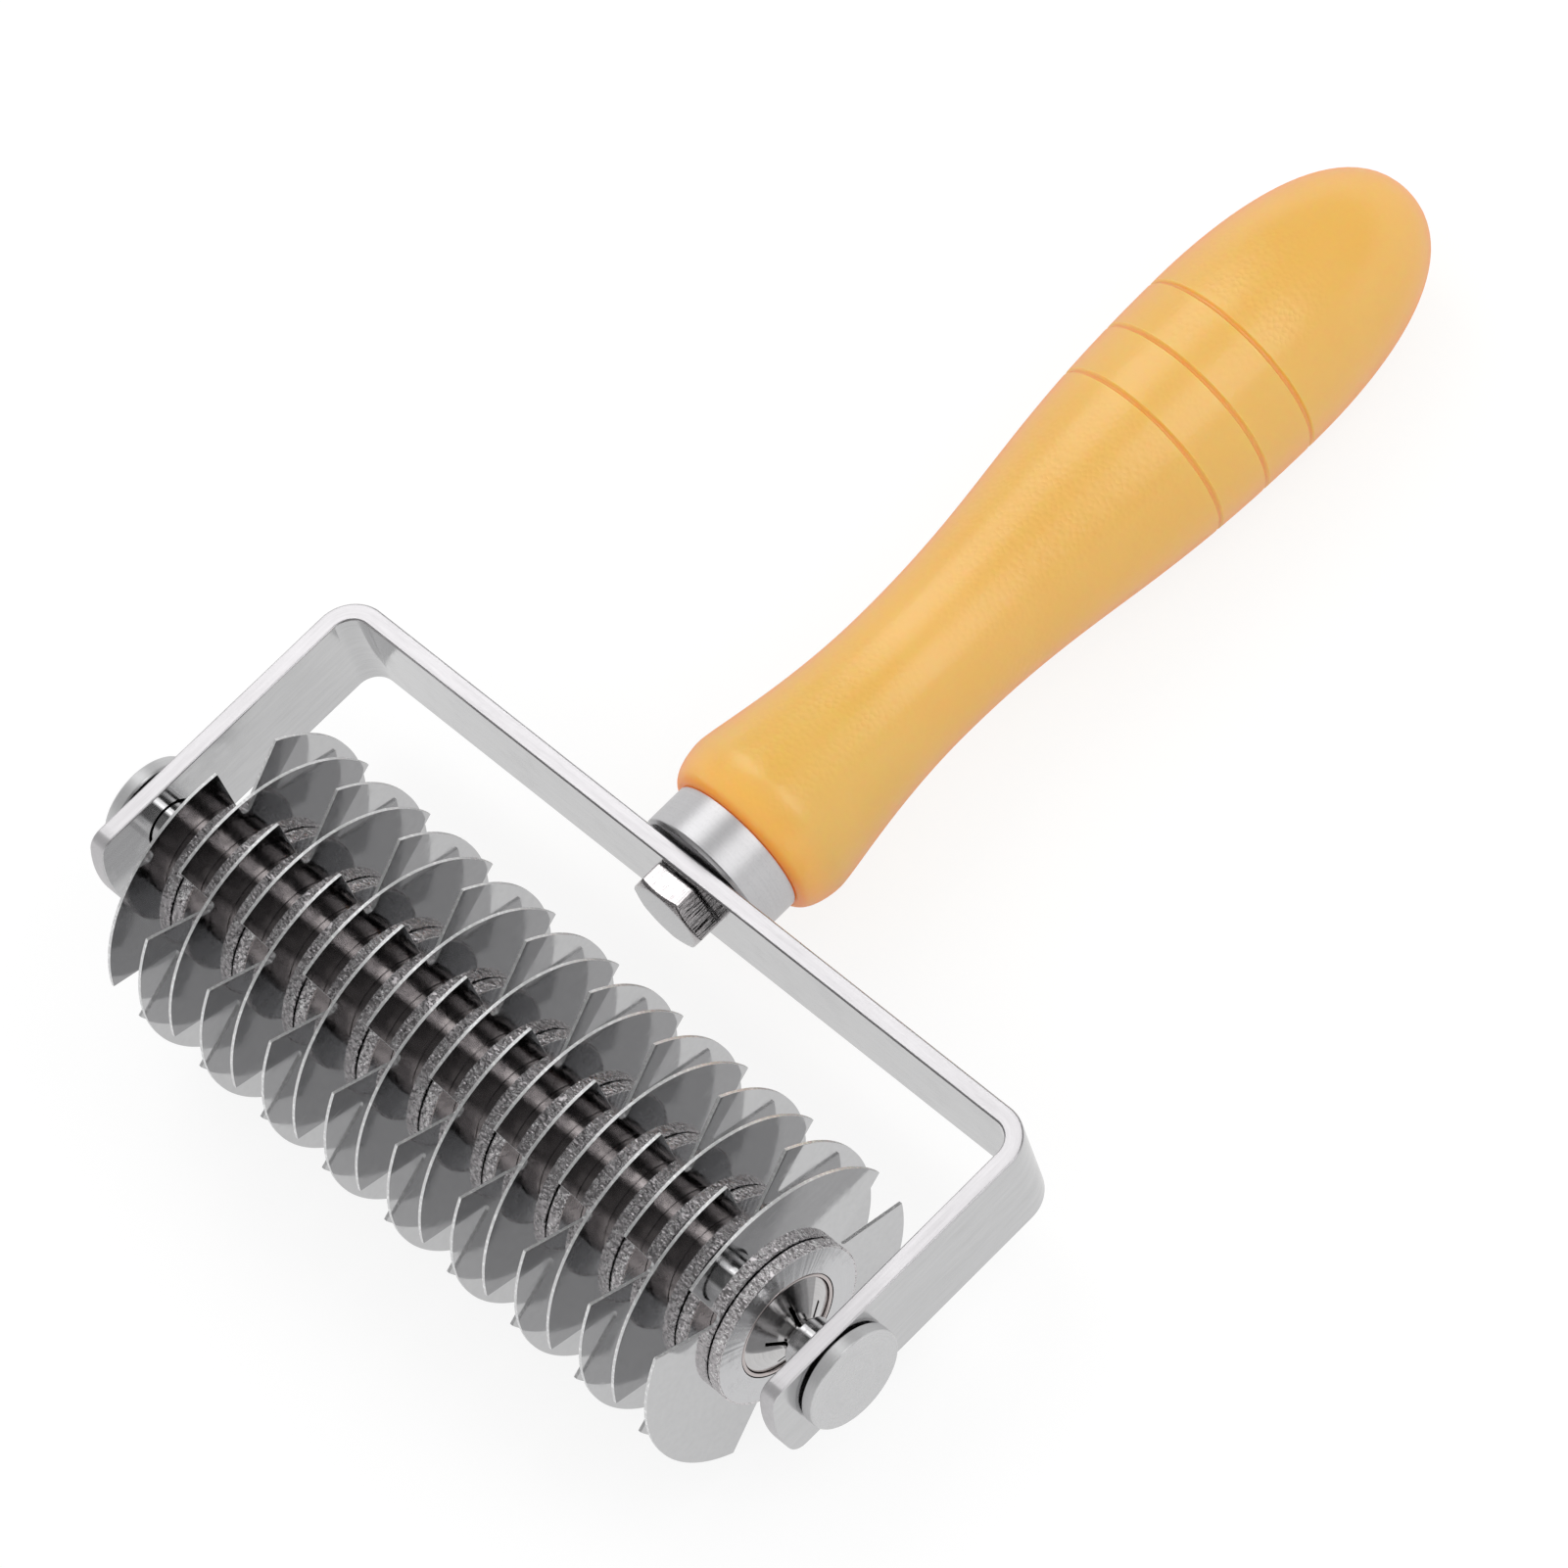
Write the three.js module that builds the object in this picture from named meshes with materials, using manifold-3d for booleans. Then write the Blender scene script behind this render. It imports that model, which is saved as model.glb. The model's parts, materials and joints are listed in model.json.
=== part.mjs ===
// Lattice roller cutter: a roller of notched cutting discs in a bent strip yoke, with a moulded handle.
// Millimetres, +Z up. The tool lies on a table, so the discs and the belly of the handle touch z = 0.
// The tool's own directions are X along the axle, Y towards the handle and Z square to both.
// Their zero is on the axle, midway between the two arms of the yoke.

import * as THREE from 'three';
import { mergeVertices } from 'three/addons/utils/BufferGeometryUtils.js';
import Module from 'manifold-3d';

// Cutting discs
const BLADE_COUNT = 18;
const BLADE_PITCH = 6;
const BLADE_RADIUS = 22.4;
const BLADE_THICKNESS = 0.5;
const LOBE_COUNT = 3;
const NOTCH_MOUTH = 10.2;
const NOTCH_ROOT_RADIUS = 0.9;
const NOTCH_TO_RING = 0.3;
const ROLLER_TURN_DEGREES = 7.3;

// Backing rings, one on the right of each disc
const RING_RADIUS = 12.1;
const RING_THICKNESS = 2;

// Hub tube and the star plates in its ends
const TUBE_RADIUS = 7.9;
const TUBE_WALL = 0.5;
const TUBE_OVERHANG = 2.1;
const PLATE_THICKNESS = 0.6;
const PLATE_RECESS = 0.3;
const PLATE_RISE = 2.6;
const SLIT_COUNT = 5;
const SLIT_WIDTH = 0.6;
const SLIT_TO_RIM = 2.4;

// Axle rod, the bushes that run in the arms and the flat heads on the ends
const AXLE_RADIUS = 2.2;
const AXLE_IN_CAP = 1;
const BUSH_RADIUS = 3.7;
const BUSH_TIP_WALL = 0.5;
const BUSH_CHAMFER = 0.9;
const BUSH_END_GAP = 0.15;
const CAP_RADIUS = 7.6;
const CAP_THICKNESS = 2.15;
const CAP_CHAMFER = 0.3;
const HEAD_FLOAT = 0.3;

// Yoke strip
const FIRST_BLADE_SPACE = 12.9;
const LAST_RING_SPACE = 7.3;
const THROAT = 13.4;
const STRIP_WIDTH = 14.8;
const STRIP_THICKNESS = 2.6;
const BEND_RADIUS = 3.1;
const ARM_TIP = 11.6;
const ARM_CROWN = 1.4;
const ARM_CORNER = 2.5;
const FLAT_FROM_FERRULE = 1;

// Bolt, ferrule and the threaded bush in the handle
const BOLT_RADIUS = 3.15;
const BOLT_PAST_INSERT = 1.6;
const HEAD_ACROSS_FLATS = 11.1;
const HEAD_HEIGHT = 3.9;
const HEAD_CHAMFER = 0.8;
const FERRULE_RADIUS = 10.4;
const FERRULE_LENGTH = 6.7;
const FERRULE_WALL = 1.2;
const FERRULE_FLOOR = 1.3;
const FERRULE_CHAMFER = 0.5;
const FERRULE_STANDOFF = 0.3;
const INSERT_RADIUS = 5;
const INSERT_LENGTH = 24;
const BOLT_END_ROOM = 3;

// Handle, with places measured from its front face
const BEAD_AT = 5.8;
const BEAD_RADIUS = 13.2;
const WAIST_AT = 32.5;
const WAIST_RADIUS = 10.45;
const BELLY_AT = 94.5;
const BELLY_RADIUS = 15;
const GRIP_LENGTH = 127.2;
const GROOVE_COUNT = 3;
const FIRST_GROOVE_AT = 76.2;
const GROOVE_PITCH = 8.4;
const GROOVE_WIDTH = 0.9;
const GROOVE_DEPTH = 0.4;

// How far the outline keeps its direction at each high and low point of the handle
const FACE_PULL = 2.2;
const BEAD_FRONT_PULL = 1.5;
const BEAD_BACK_PULL = 2.5;
const WAIST_FRONT_PULL = 13.2;
const WAIST_BACK_PULL = 24.8;
const BELLY_FRONT_PULL = 31;
const BELLY_BACK_PULL = 14.6;
const BUTT_PULL = 12.1;

// Clearances
const SEAT = 0.1;
const RUNNING_CLEARANCE = 0.3;
const BOLT_HOLE_CLEARANCE = 0.2;

// Fineness of the round surfaces
const HUB_SIDES = 24;
const BOLT_SIDES = 20;
const GRIP_SIDES = 32;
const LOBE_STEPS = 10;
const ROOT_STEPS = 4;
const BEND_STEPS = 6;
const CROWN_STEPS = 6;
const CORNER_STEPS = 4;
const BEAD_STEPS = 5;
const WAIST_STEPS = 7;
const BELLY_STEPS = 10;
const BUTT_STEPS = 10;
const HEX_SIDES = 6;
const SAME_CORNER = 1e-4;

// Tools that cut right through reach this far past the surface
const CUT_OVERRUN = 5;

// Places along the axle
const bladeStack = (BLADE_COUNT - 1) * BLADE_PITCH + BLADE_THICKNESS + SEAT + RING_THICKNESS;
const armInner = (FIRST_BLADE_SPACE + bladeStack + LAST_RING_SPACE) / 2;
const armOuter = armInner + STRIP_THICKNESS;
const firstBladeLeft = -armInner + FIRST_BLADE_SPACE;
const lastRingRight = armInner - LAST_RING_SPACE;
const tubeLeft = firstBladeLeft - TUBE_OVERHANG;
const tubeRight = lastRingRight;
const tubeInnerRadius = TUBE_RADIUS - TUBE_WALL;
const plateRadius = tubeInnerRadius - SEAT;
const leftPlateRim = tubeLeft + PLATE_RECESS;
const rightPlateRim = tubeRight - PLATE_RECESS;
const leftBushTip = leftPlateRim - PLATE_RISE - BUSH_END_GAP;
const rightBushTip = rightPlateRim + PLATE_RISE + BUSH_END_GAP;
const leftCapInner = -(armOuter + HEAD_FLOAT);
const rightCapInner = armOuter + HEAD_FLOAT;

// Places along the handle
const crossbarInner = BLADE_RADIUS + THROAT;
const crossbarOuter = crossbarInner + STRIP_THICKNESS;
const ferruleFront = crossbarOuter + FERRULE_STANDOFF;
const ferruleFloorBack = ferruleFront + FERRULE_FLOOR;
const ferruleBack = ferruleFront + FERRULE_LENGTH;
const ferruleInnerRadius = FERRULE_RADIUS - FERRULE_WALL;
const spigotFront = ferruleFloorBack + SEAT;
const insertBack = spigotFront + INSERT_LENGTH;
const boltTip = insertBack + BOLT_PAST_INSERT;
const gripFace = ferruleBack + SEAT;

const steel = (color, roughness) => new THREE.MeshStandardMaterial({ color, roughness, metalness: 1 });
const bladeSteel = () => steel(0xc4c5c7, 0.12);
const ringSteel = () => steel(0xb4b5b8, 0.35);
const hubSteel = () => steel(0xaeb0b3, 0.18);
const yokeSteel = () => steel(0xc9cacc, 0.22);
const capSteel = () => steel(0xc2c3c5, 0.28);
const boltChrome = () => steel(0xd6d6d8, 0.1);
const insertBrass = () => steel(0xb8923e, 0.35);
const gripPlastic = () => new THREE.MeshStandardMaterial({ color: 0xe9b650, roughness: 0.4, metalness: 0 });

const wasm = await Module();
wasm.setup();

/** A named mesh. */
function piece(name, geometry, material) {
  const mesh = new THREE.Mesh(geometry, material);
  mesh.name = name;
  return mesh;
}

/** Points of an arc in the plane of a shape, both ends included. */
function arcPoints(x, y, radius, from, to, steps) {
  return Array.from({ length: steps + 1 }, (_, i) => {
    const angle = from + ((to - from) * i) / steps;
    return new THREE.Vector2(x + radius * Math.cos(angle), y + radius * Math.sin(angle));
  });
}

/** Points of a full circle, for a round hole in a shape. */
function circlePoints(radius, sides) {
  return arcPoints(0, 0, radius, 0, 2 * Math.PI, sides).slice(0, sides);
}

/** Turns a solid drawn with its plane in XY and its depth along Z, so that the depth runs along X. */
function depthAlongX(geometry) {
  const turned = new THREE.Matrix4().makeBasis(
    new THREE.Vector3(0, 1, 0),
    new THREE.Vector3(0, 0, 1),
    new THREE.Vector3(1, 0, 0),
  );
  return geometry.applyMatrix4(turned);
}

/** A flat plate square to the axle, from an outline and holes drawn in the Y and Z directions. */
function axlePlate(outline, holes, left, thickness) {
  const shape = new THREE.Shape(outline);
  shape.holes = holes.map((points) => new THREE.Path(points));
  const plate = new THREE.ExtrudeGeometry(shape, { depth: thickness, bevelEnabled: false });
  return depthAlongX(plate).translate(left, 0, 0);
}

/** A turned solid about the handle's axis, from pairs of radius and place. */
function turnedAlongY(profile, sides) {
  const points = profile.map(([radius, place]) => new THREE.Vector2(radius, place));
  return new THREE.LatheGeometry(points, sides);
}

/** A turned solid about the axle, from pairs of radius and place. */
function turnedAlongX(profile, sides) {
  return turnedAlongY(profile, sides).rotateZ(-Math.PI / 2);
}

/** A plain collar profile: outer wall, far face, bore and near face. */
function collarProfile(bore, radius, near, far) {
  return [[bore, near], [radius, near], [radius, far], [bore, far], [bore, near]];
}

/** A closed solid for joining and cutting. */
function solid(geometry) {
  const bare = geometry.clone();
  bare.deleteAttribute('normal');
  bare.deleteAttribute('uv');
  const merged = mergeVertices(bare, SAME_CORNER);
  const corners = merged.index.array;
  const kept = [];
  for (let i = 0; i < corners.length; i += 3) {
    const [a, b, c] = corners.slice(i, i + 3);
    if (a !== b && b !== c && c !== a) kept.push(a, b, c);
  }
  return new wasm.Manifold(new wasm.Mesh({
    numProp: 3,
    vertProperties: new Float32Array(merged.attributes.position.array),
    triVerts: new Uint32Array(kept),
  }));
}

/** The surface of a joined or cut solid. */
function surface(manifold) {
  const mesh = manifold.getMesh();
  const geometry = new THREE.BufferGeometry();
  geometry.setAttribute('position', new THREE.BufferAttribute(new Float32Array(mesh.vertProperties), 3));
  geometry.setIndex(new THREE.BufferAttribute(new Uint32Array(mesh.triVerts), 1));
  geometry.computeVertexNormals();
  return geometry;
}

/** The disc's rim: equal lobes with a V notch between them, the first notch in the +Y direction. */
function bladeOutline() {
  const lobePitch = (2 * Math.PI) / LOBE_COUNT;
  const mouthAngle = Math.asin(NOTCH_MOUTH / 2 / BLADE_RADIUS);
  const rootCentre = RING_RADIUS + NOTCH_TO_RING + NOTCH_ROOT_RADIUS;
  // The flank runs from the corner of the mouth to where it meets the root circle square to its radius.
  const cornerX = BLADE_RADIUS * Math.cos(mouthAngle) - rootCentre;
  const cornerY = BLADE_RADIUS * Math.sin(mouthAngle);
  const toCorner = Math.atan2(cornerY, cornerX);
  const tangent = toCorner + Math.acos(NOTCH_ROOT_RADIUS / Math.hypot(cornerX, cornerY));
  const points = [];
  for (let k = 0; k < LOBE_COUNT; k += 1) {
    const notch = k * lobePitch;
    const lobeFrom = notch + mouthAngle;
    const lobeTo = notch + lobePitch - mouthAngle;
    const rootX = rootCentre * Math.cos(notch);
    const rootY = rootCentre * Math.sin(notch);
    const rootFrom = notch + 2 * Math.PI - tangent;
    points.push(...arcPoints(rootX, rootY, NOTCH_ROOT_RADIUS, rootFrom, notch + tangent, ROOT_STEPS));
    points.push(...arcPoints(0, 0, BLADE_RADIUS, lobeFrom, lobeTo, LOBE_STEPS));
  }
  return points;
}

/** The discs with their backing rings, every second disc turned by half a lobe. */
function bladesAndRings() {
  const outline = bladeOutline();
  const bore = circlePoints(TUBE_RADIUS + SEAT, HUB_SIDES);
  const pieces = [];
  for (let i = 0; i < BLADE_COUNT; i += 1) {
    const number = String(i + 1).padStart(2, '0');
    const left = firstBladeLeft + i * BLADE_PITCH;
    const blade = piece(`blade_${number}`, axlePlate(outline, [bore], left, BLADE_THICKNESS), bladeSteel());
    blade.rotation.x = i % 2 === 0 ? Math.PI / LOBE_COUNT : 0;
    const ringLeft = left + BLADE_THICKNESS + SEAT;
    const ring = collarProfile(TUBE_RADIUS + SEAT, RING_RADIUS, ringLeft, ringLeft + RING_THICKNESS);
    pieces.push(blade, piece(`backing_ring_${number}`, turnedAlongX(ring, HUB_SIDES), ringSteel()));
  }
  return pieces;
}

/** A dished star plate with radial slits. Its rim lies at zero, and its mouth stands out along X. */
function starPlate() {
  const bore = AXLE_RADIUS + SEAT;
  const dish = turnedAlongX([
    [bore, PLATE_RISE - PLATE_THICKNESS],
    [plateRadius, -PLATE_THICKNESS],
    [plateRadius, 0],
    [bore, PLATE_RISE],
    [bore, PLATE_RISE - PLATE_THICKNESS],
  ], HUB_SIDES);
  const slitEnd = plateRadius - SLIT_TO_RIM;
  const slitDepth = 2 * (PLATE_RISE + CUT_OVERRUN);
  let plate = solid(dish);
  for (let k = 0; k < SLIT_COUNT; k += 1) {
    const slit = new THREE.BoxGeometry(slitDepth, slitEnd, SLIT_WIDTH);
    slit.translate(0, slitEnd / 2, 0).rotateX((k * 2 * Math.PI) / SLIT_COUNT);
    plate = plate.subtract(solid(slit));
  }
  return surface(plate);
}

/** The tube that carries the discs, and the star plates that hold it on the axle. */
function hub() {
  const tube = turnedAlongX(collarProfile(tubeInnerRadius, TUBE_RADIUS, tubeLeft, tubeRight), HUB_SIDES);
  const leftPlate = piece('hub_plate_left', starPlate(), hubSteel());
  leftPlate.position.x = leftPlateRim;
  leftPlate.rotation.y = Math.PI;
  const rightPlate = piece('hub_plate_right', starPlate(), hubSteel());
  rightPlate.position.x = rightPlateRim;
  return [piece('hub_tube', tube, hubSteel()), leftPlate, rightPlate];
}

/** A flat head with a blind hole for the end of the rod. It lies along X from its inner face at zero. */
function capGeometry() {
  const hole = AXLE_RADIUS + SEAT;
  const depth = AXLE_IN_CAP + SEAT;
  return turnedAlongX([
    [0, depth],
    [hole, depth],
    [hole, 0],
    [CAP_RADIUS - CAP_CHAMFER, 0],
    [CAP_RADIUS, CAP_CHAMFER],
    [CAP_RADIUS, CAP_THICKNESS - CAP_CHAMFER],
    [CAP_RADIUS - CAP_CHAMFER, CAP_THICKNESS],
    [0, CAP_THICKNESS],
  ], HUB_SIDES);
}

/** A bush for one arm. It lies along X from its chamfered tip at zero. */
function bushGeometry(length) {
  const bore = AXLE_RADIUS + SEAT;
  return turnedAlongX([
    [bore, 0],
    [bore + BUSH_TIP_WALL, 0],
    [BUSH_RADIUS, BUSH_CHAMFER],
    [BUSH_RADIUS, length],
    [bore, length],
    [bore, 0],
  ], HUB_SIDES);
}

/** The rod, a bush for each arm and the two heads. */
function axle() {
  const rodLeft = leftCapInner - AXLE_IN_CAP;
  const rodRight = rightCapInner + AXLE_IN_CAP;
  const rod = turnedAlongX([
    [0, rodLeft],
    [AXLE_RADIUS, rodLeft],
    [AXLE_RADIUS, rodRight],
    [0, rodRight],
  ], HUB_SIDES);
  const leftBush = piece('axle_bush_left', bushGeometry(leftBushTip - leftCapInner - SEAT), hubSteel());
  leftBush.position.x = leftBushTip;
  leftBush.rotation.y = Math.PI;
  const rightBush = piece('axle_bush_right', bushGeometry(rightCapInner - SEAT - rightBushTip), hubSteel());
  rightBush.position.x = rightBushTip;
  const leftCap = piece('axle_cap_left', capGeometry(), capSteel());
  leftCap.position.x = leftCapInner;
  leftCap.rotation.y = Math.PI;
  const rightCap = piece('axle_cap_right', capGeometry(), capSteel());
  rightCap.position.x = rightCapInner;
  return [piece('axle_rod', rod, hubSteel()), leftBush, rightBush, leftCap, rightCap];
}

/** Everything that spins, turned to the rest angle. */
function roller() {
  const group = new THREE.Group();
  group.add(...axle(), ...hub(), ...bladesAndRings());
  group.rotation.x = THREE.MathUtils.degToRad(ROLLER_TURN_DEGREES);
  return group;
}

/** The strip bent into a U, with rounded arm ends, a hole for a bush in each arm and one for the bolt. */
function yoke() {
  const bendCentreX = armInner - BEND_RADIUS;
  const bendCentreY = crossbarInner - BEND_RADIUS;
  const outerBend = BEND_RADIUS + STRIP_THICKNESS;
  const quarter = Math.PI / 2;
  // The flats beside the handle's seat are faces of their own, which a hook or a clamp can bear on.
  const flatFrom = FERRULE_RADIUS + FLAT_FROM_FERRULE;
  const bent = new THREE.Shape([
    new THREE.Vector2(-armInner, -ARM_TIP),
    ...arcPoints(-bendCentreX, bendCentreY, BEND_RADIUS, 2 * quarter, quarter, BEND_STEPS),
    new THREE.Vector2(-flatFrom, crossbarInner),
    new THREE.Vector2(flatFrom, crossbarInner),
    ...arcPoints(bendCentreX, bendCentreY, BEND_RADIUS, quarter, 0, BEND_STEPS),
    new THREE.Vector2(armInner, -ARM_TIP),
    new THREE.Vector2(armOuter, -ARM_TIP),
    ...arcPoints(bendCentreX, bendCentreY, outerBend, 0, quarter, BEND_STEPS),
    new THREE.Vector2(flatFrom, crossbarOuter),
    new THREE.Vector2(-flatFrom, crossbarOuter),
    ...arcPoints(-bendCentreX, bendCentreY, outerBend, quarter, 2 * quarter, BEND_STEPS),
    new THREE.Vector2(-armOuter, -ARM_TIP),
  ]);
  const strip = new THREE.ExtrudeGeometry(bent, { depth: STRIP_WIDTH, bevelEnabled: false });
  strip.translate(0, 0, -STRIP_WIDTH / 2);

  // The side view keeps what lies behind the crown of the arm ends and inside their rounded corners.
  const halfWidth = STRIP_WIDTH / 2;
  const crownRadius = (halfWidth ** 2 + ARM_CROWN ** 2) / (2 * ARM_CROWN);
  const keptHalfWidth = (halfWidth + crownRadius) / 2;
  const crownCentre = crownRadius - ARM_TIP;
  const cornerZ = halfWidth - ARM_CORNER;
  const cornerY = crownCentre - Math.sqrt((crownRadius - ARM_CORNER) ** 2 - cornerZ ** 2);
  const crownFrom = Math.atan2(cornerZ, cornerY - crownCentre);
  const crownTo = 2 * Math.PI - crownFrom;
  const sideView = [
    new THREE.Vector2(cornerY, keptHalfWidth),
    ...arcPoints(cornerY, cornerZ, ARM_CORNER, quarter, crownFrom, CORNER_STEPS),
    ...arcPoints(crownCentre, 0, crownRadius, crownFrom, crownTo, CROWN_STEPS).slice(1, CROWN_STEPS),
    ...arcPoints(cornerY, -cornerZ, ARM_CORNER, crownTo, 3 * quarter, CORNER_STEPS),
    new THREE.Vector2(cornerY, -keptHalfWidth),
    new THREE.Vector2(crossbarOuter + CUT_OVERRUN, -keptHalfWidth),
    new THREE.Vector2(crossbarOuter + CUT_OVERRUN, keptHalfWidth),
  ];
  const keptLength = 2 * (armOuter + CUT_OVERRUN);
  const kept = axlePlate(sideView, [], -keptLength / 2, keptLength);

  const bushHoleRadius = BUSH_RADIUS + RUNNING_CLEARANCE;
  const bushHole = new THREE.CylinderGeometry(bushHoleRadius, bushHoleRadius, keptLength, HUB_SIDES);
  bushHole.rotateZ(-quarter);
  const boltHoleRadius = BOLT_RADIUS + BOLT_HOLE_CLEARANCE;
  const boltHoleLength = STRIP_THICKNESS + 2 * CUT_OVERRUN;
  const boltHole = new THREE.CylinderGeometry(boltHoleRadius, boltHoleRadius, boltHoleLength, BOLT_SIDES);
  boltHole.translate(0, (crossbarInner + crossbarOuter) / 2, 0);

  const cut = solid(strip).intersect(solid(kept)).subtract(solid(bushHole)).subtract(solid(boltHole));
  return piece('yoke', surface(cut), yokeSteel());
}

/** The hex bolt, its head under the crossbar with one flat facing up and its corners chamfered. */
function handleBolt() {
  const headBack = crossbarInner - SEAT;
  const headFront = headBack - HEAD_HEIGHT;
  const halfSide = Math.PI / HEX_SIDES;
  const cornerRadius = HEAD_ACROSS_FLATS / 2 / Math.cos(halfSide);
  const hexagon = new THREE.CylinderGeometry(cornerRadius, cornerRadius, HEAD_HEIGHT, HEX_SIDES);
  hexagon.rotateY(halfSide).translate(0, (headFront + headBack) / 2, 0);
  const faceRadius = HEAD_ACROSS_FLATS / 2 - HEAD_CHAMFER / 2;
  const chamferEnd = headFront + HEAD_CHAMFER;
  const chamferRadius = cornerRadius + HEAD_CHAMFER;
  const turnedEnvelope = turnedAlongY([
    [0, headFront],
    [faceRadius, headFront],
    [chamferRadius, chamferEnd],
    [chamferRadius, headBack + SEAT],
    [0, headBack + SEAT],
  ], BOLT_SIDES);
  const shankFrom = headFront + HEAD_HEIGHT / 2;
  const shank = turnedAlongY([
    [0, shankFrom],
    [BOLT_RADIUS, shankFrom],
    [BOLT_RADIUS, boltTip],
    [0, boltTip],
  ], BOLT_SIDES);
  const bolt = solid(hexagon).intersect(solid(turnedEnvelope)).add(solid(shank));
  return piece('handle_bolt', surface(bolt), boltChrome());
}

/** The steel cup between crossbar and handle, open towards the handle. */
function handleFerrule() {
  const bore = BOLT_RADIUS + BOLT_HOLE_CLEARANCE;
  const ferrule = turnedAlongY([
    [bore, ferruleFront],
    [FERRULE_RADIUS - FERRULE_CHAMFER, ferruleFront],
    [FERRULE_RADIUS, ferruleFront + FERRULE_CHAMFER],
    [FERRULE_RADIUS, ferruleBack],
    [ferruleInnerRadius, ferruleBack],
    [ferruleInnerRadius, ferruleFloorBack],
    [bore, ferruleFloorBack],
    [bore, ferruleFront],
  ], GRIP_SIDES);
  return piece('handle_ferrule', ferrule, capSteel());
}

/** The threaded bush that takes the bolt. */
function handleInsert() {
  const bush = collarProfile(BOLT_RADIUS + SEAT, INSERT_RADIUS, spigotFront, insertBack);
  return piece('handle_insert', turnedAlongY(bush, BOLT_SIDES), insertBrass());
}

/** The handle's outline behind its front face, as points of radius and place, before the grooves. */
function gripCurve() {
  const face = new THREE.Vector2(FERRULE_RADIUS, gripFace);
  const bead = new THREE.Vector2(BEAD_RADIUS, gripFace + BEAD_AT);
  const waist = new THREE.Vector2(WAIST_RADIUS, gripFace + WAIST_AT);
  const belly = new THREE.Vector2(BELLY_RADIUS, gripFace + BELLY_AT);
  const butt = new THREE.Vector2(0, gripFace + GRIP_LENGTH);
  const along = (point, pull) => new THREE.Vector2(point.x, point.y + pull);
  const outFrom = (point, pull) => new THREE.Vector2(point.x + pull, point.y);
  const stretches = [
    [face, outFrom(face, FACE_PULL), along(bead, -BEAD_FRONT_PULL), bead, BEAD_STEPS],
    [bead, along(bead, BEAD_BACK_PULL), along(waist, -WAIST_FRONT_PULL), waist, WAIST_STEPS],
    [waist, along(waist, WAIST_BACK_PULL), along(belly, -BELLY_FRONT_PULL), belly, BELLY_STEPS],
    [belly, along(belly, BELLY_BACK_PULL), outFrom(butt, BUTT_PULL), butt, BUTT_STEPS],
  ];
  const points = [face];
  for (const [from, fromPull, toPull, to, steps] of stretches) {
    const curve = new THREE.CubicBezierCurve(from, fromPull, toPull, to);
    points.push(...curve.getPoints(steps).slice(1));
  }
  return points;
}

/** Cuts the ring grooves into the outline, between the points that lie outside them. */
function withGrooves(curve) {
  const radiusAt = (place) => {
    const next = curve.findIndex((point) => point.y > place);
    const [before, after] = [curve[next - 1], curve[next]];
    return THREE.MathUtils.mapLinear(place, before.y, after.y, before.x, after.x);
  };
  let outline = curve;
  for (let i = 0; i < GROOVE_COUNT; i += 1) {
    const middle = gripFace + FIRST_GROOVE_AT + i * GROOVE_PITCH;
    const front = middle - GROOVE_WIDTH / 2;
    const back = middle + GROOVE_WIDTH / 2;
    outline = [
      ...outline.filter((point) => point.y < front),
      new THREE.Vector2(radiusAt(front), front),
      new THREE.Vector2(radiusAt(middle) - GROOVE_DEPTH, middle),
      new THREE.Vector2(radiusAt(back), back),
      ...outline.filter((point) => point.y > back),
    ];
  }
  return outline;
}

/** The moulded handle, with a spigot for the ferrule, a seat for the bush and room for the bolt's end. */
function handleGrip(curve) {
  const boltRoom = BOLT_RADIUS + BOLT_HOLE_CLEARANCE;
  const seatRadius = INSERT_RADIUS + SEAT;
  const seatEnd = insertBack + SEAT;
  const roomEnd = boltTip + BOLT_END_ROOM;
  const spigotRadius = ferruleInnerRadius - SEAT;
  const inside = [
    [0, roomEnd],
    [boltRoom, roomEnd],
    [boltRoom, seatEnd],
    [seatRadius, seatEnd],
    [seatRadius, spigotFront],
    [spigotRadius, spigotFront],
    [spigotRadius, gripFace],
  ];
  const outside = withGrooves(curve).map((point) => [point.x, point.y]);
  return piece('handle_grip', turnedAlongY([...inside, ...outside], GRIP_SIDES), gripPlastic());
}

/** How far the handle end drops, so that the discs and the handle touch the table together. */
function restTilt(curve) {
  const touching = curve
    .filter((point) => point.length() > BLADE_RADIUS)
    .map((point) => Math.asin(BLADE_RADIUS / point.length()) - Math.atan2(point.x, point.y));
  return Math.min(...touching);
}

const gripOutline = gripCurve();

const tool = new THREE.Group();
tool.add(yoke(), handleBolt(), handleFerrule(), handleInsert(), handleGrip(gripOutline), roller());
tool.rotation.x = -restTilt(gripOutline);

const cutter = new THREE.Group();
cutter.add(tool);
cutter.updateMatrixWorld(true);
const reach = new THREE.Box3().setFromObject(cutter, true);
const middle = reach.getCenter(new THREE.Vector3());
tool.position.set(-middle.x, -middle.y, -reach.min.z);
cutter.updateMatrixWorld(true);

export default cutter;
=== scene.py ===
"""Blender scene of a lattice roller cutter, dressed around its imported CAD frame."""

import json
import logging
import math
from dataclasses import dataclass
from enum import Enum
from typing import Sequence

import bmesh
import bpy
from mathutils import Matrix, Vector

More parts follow.
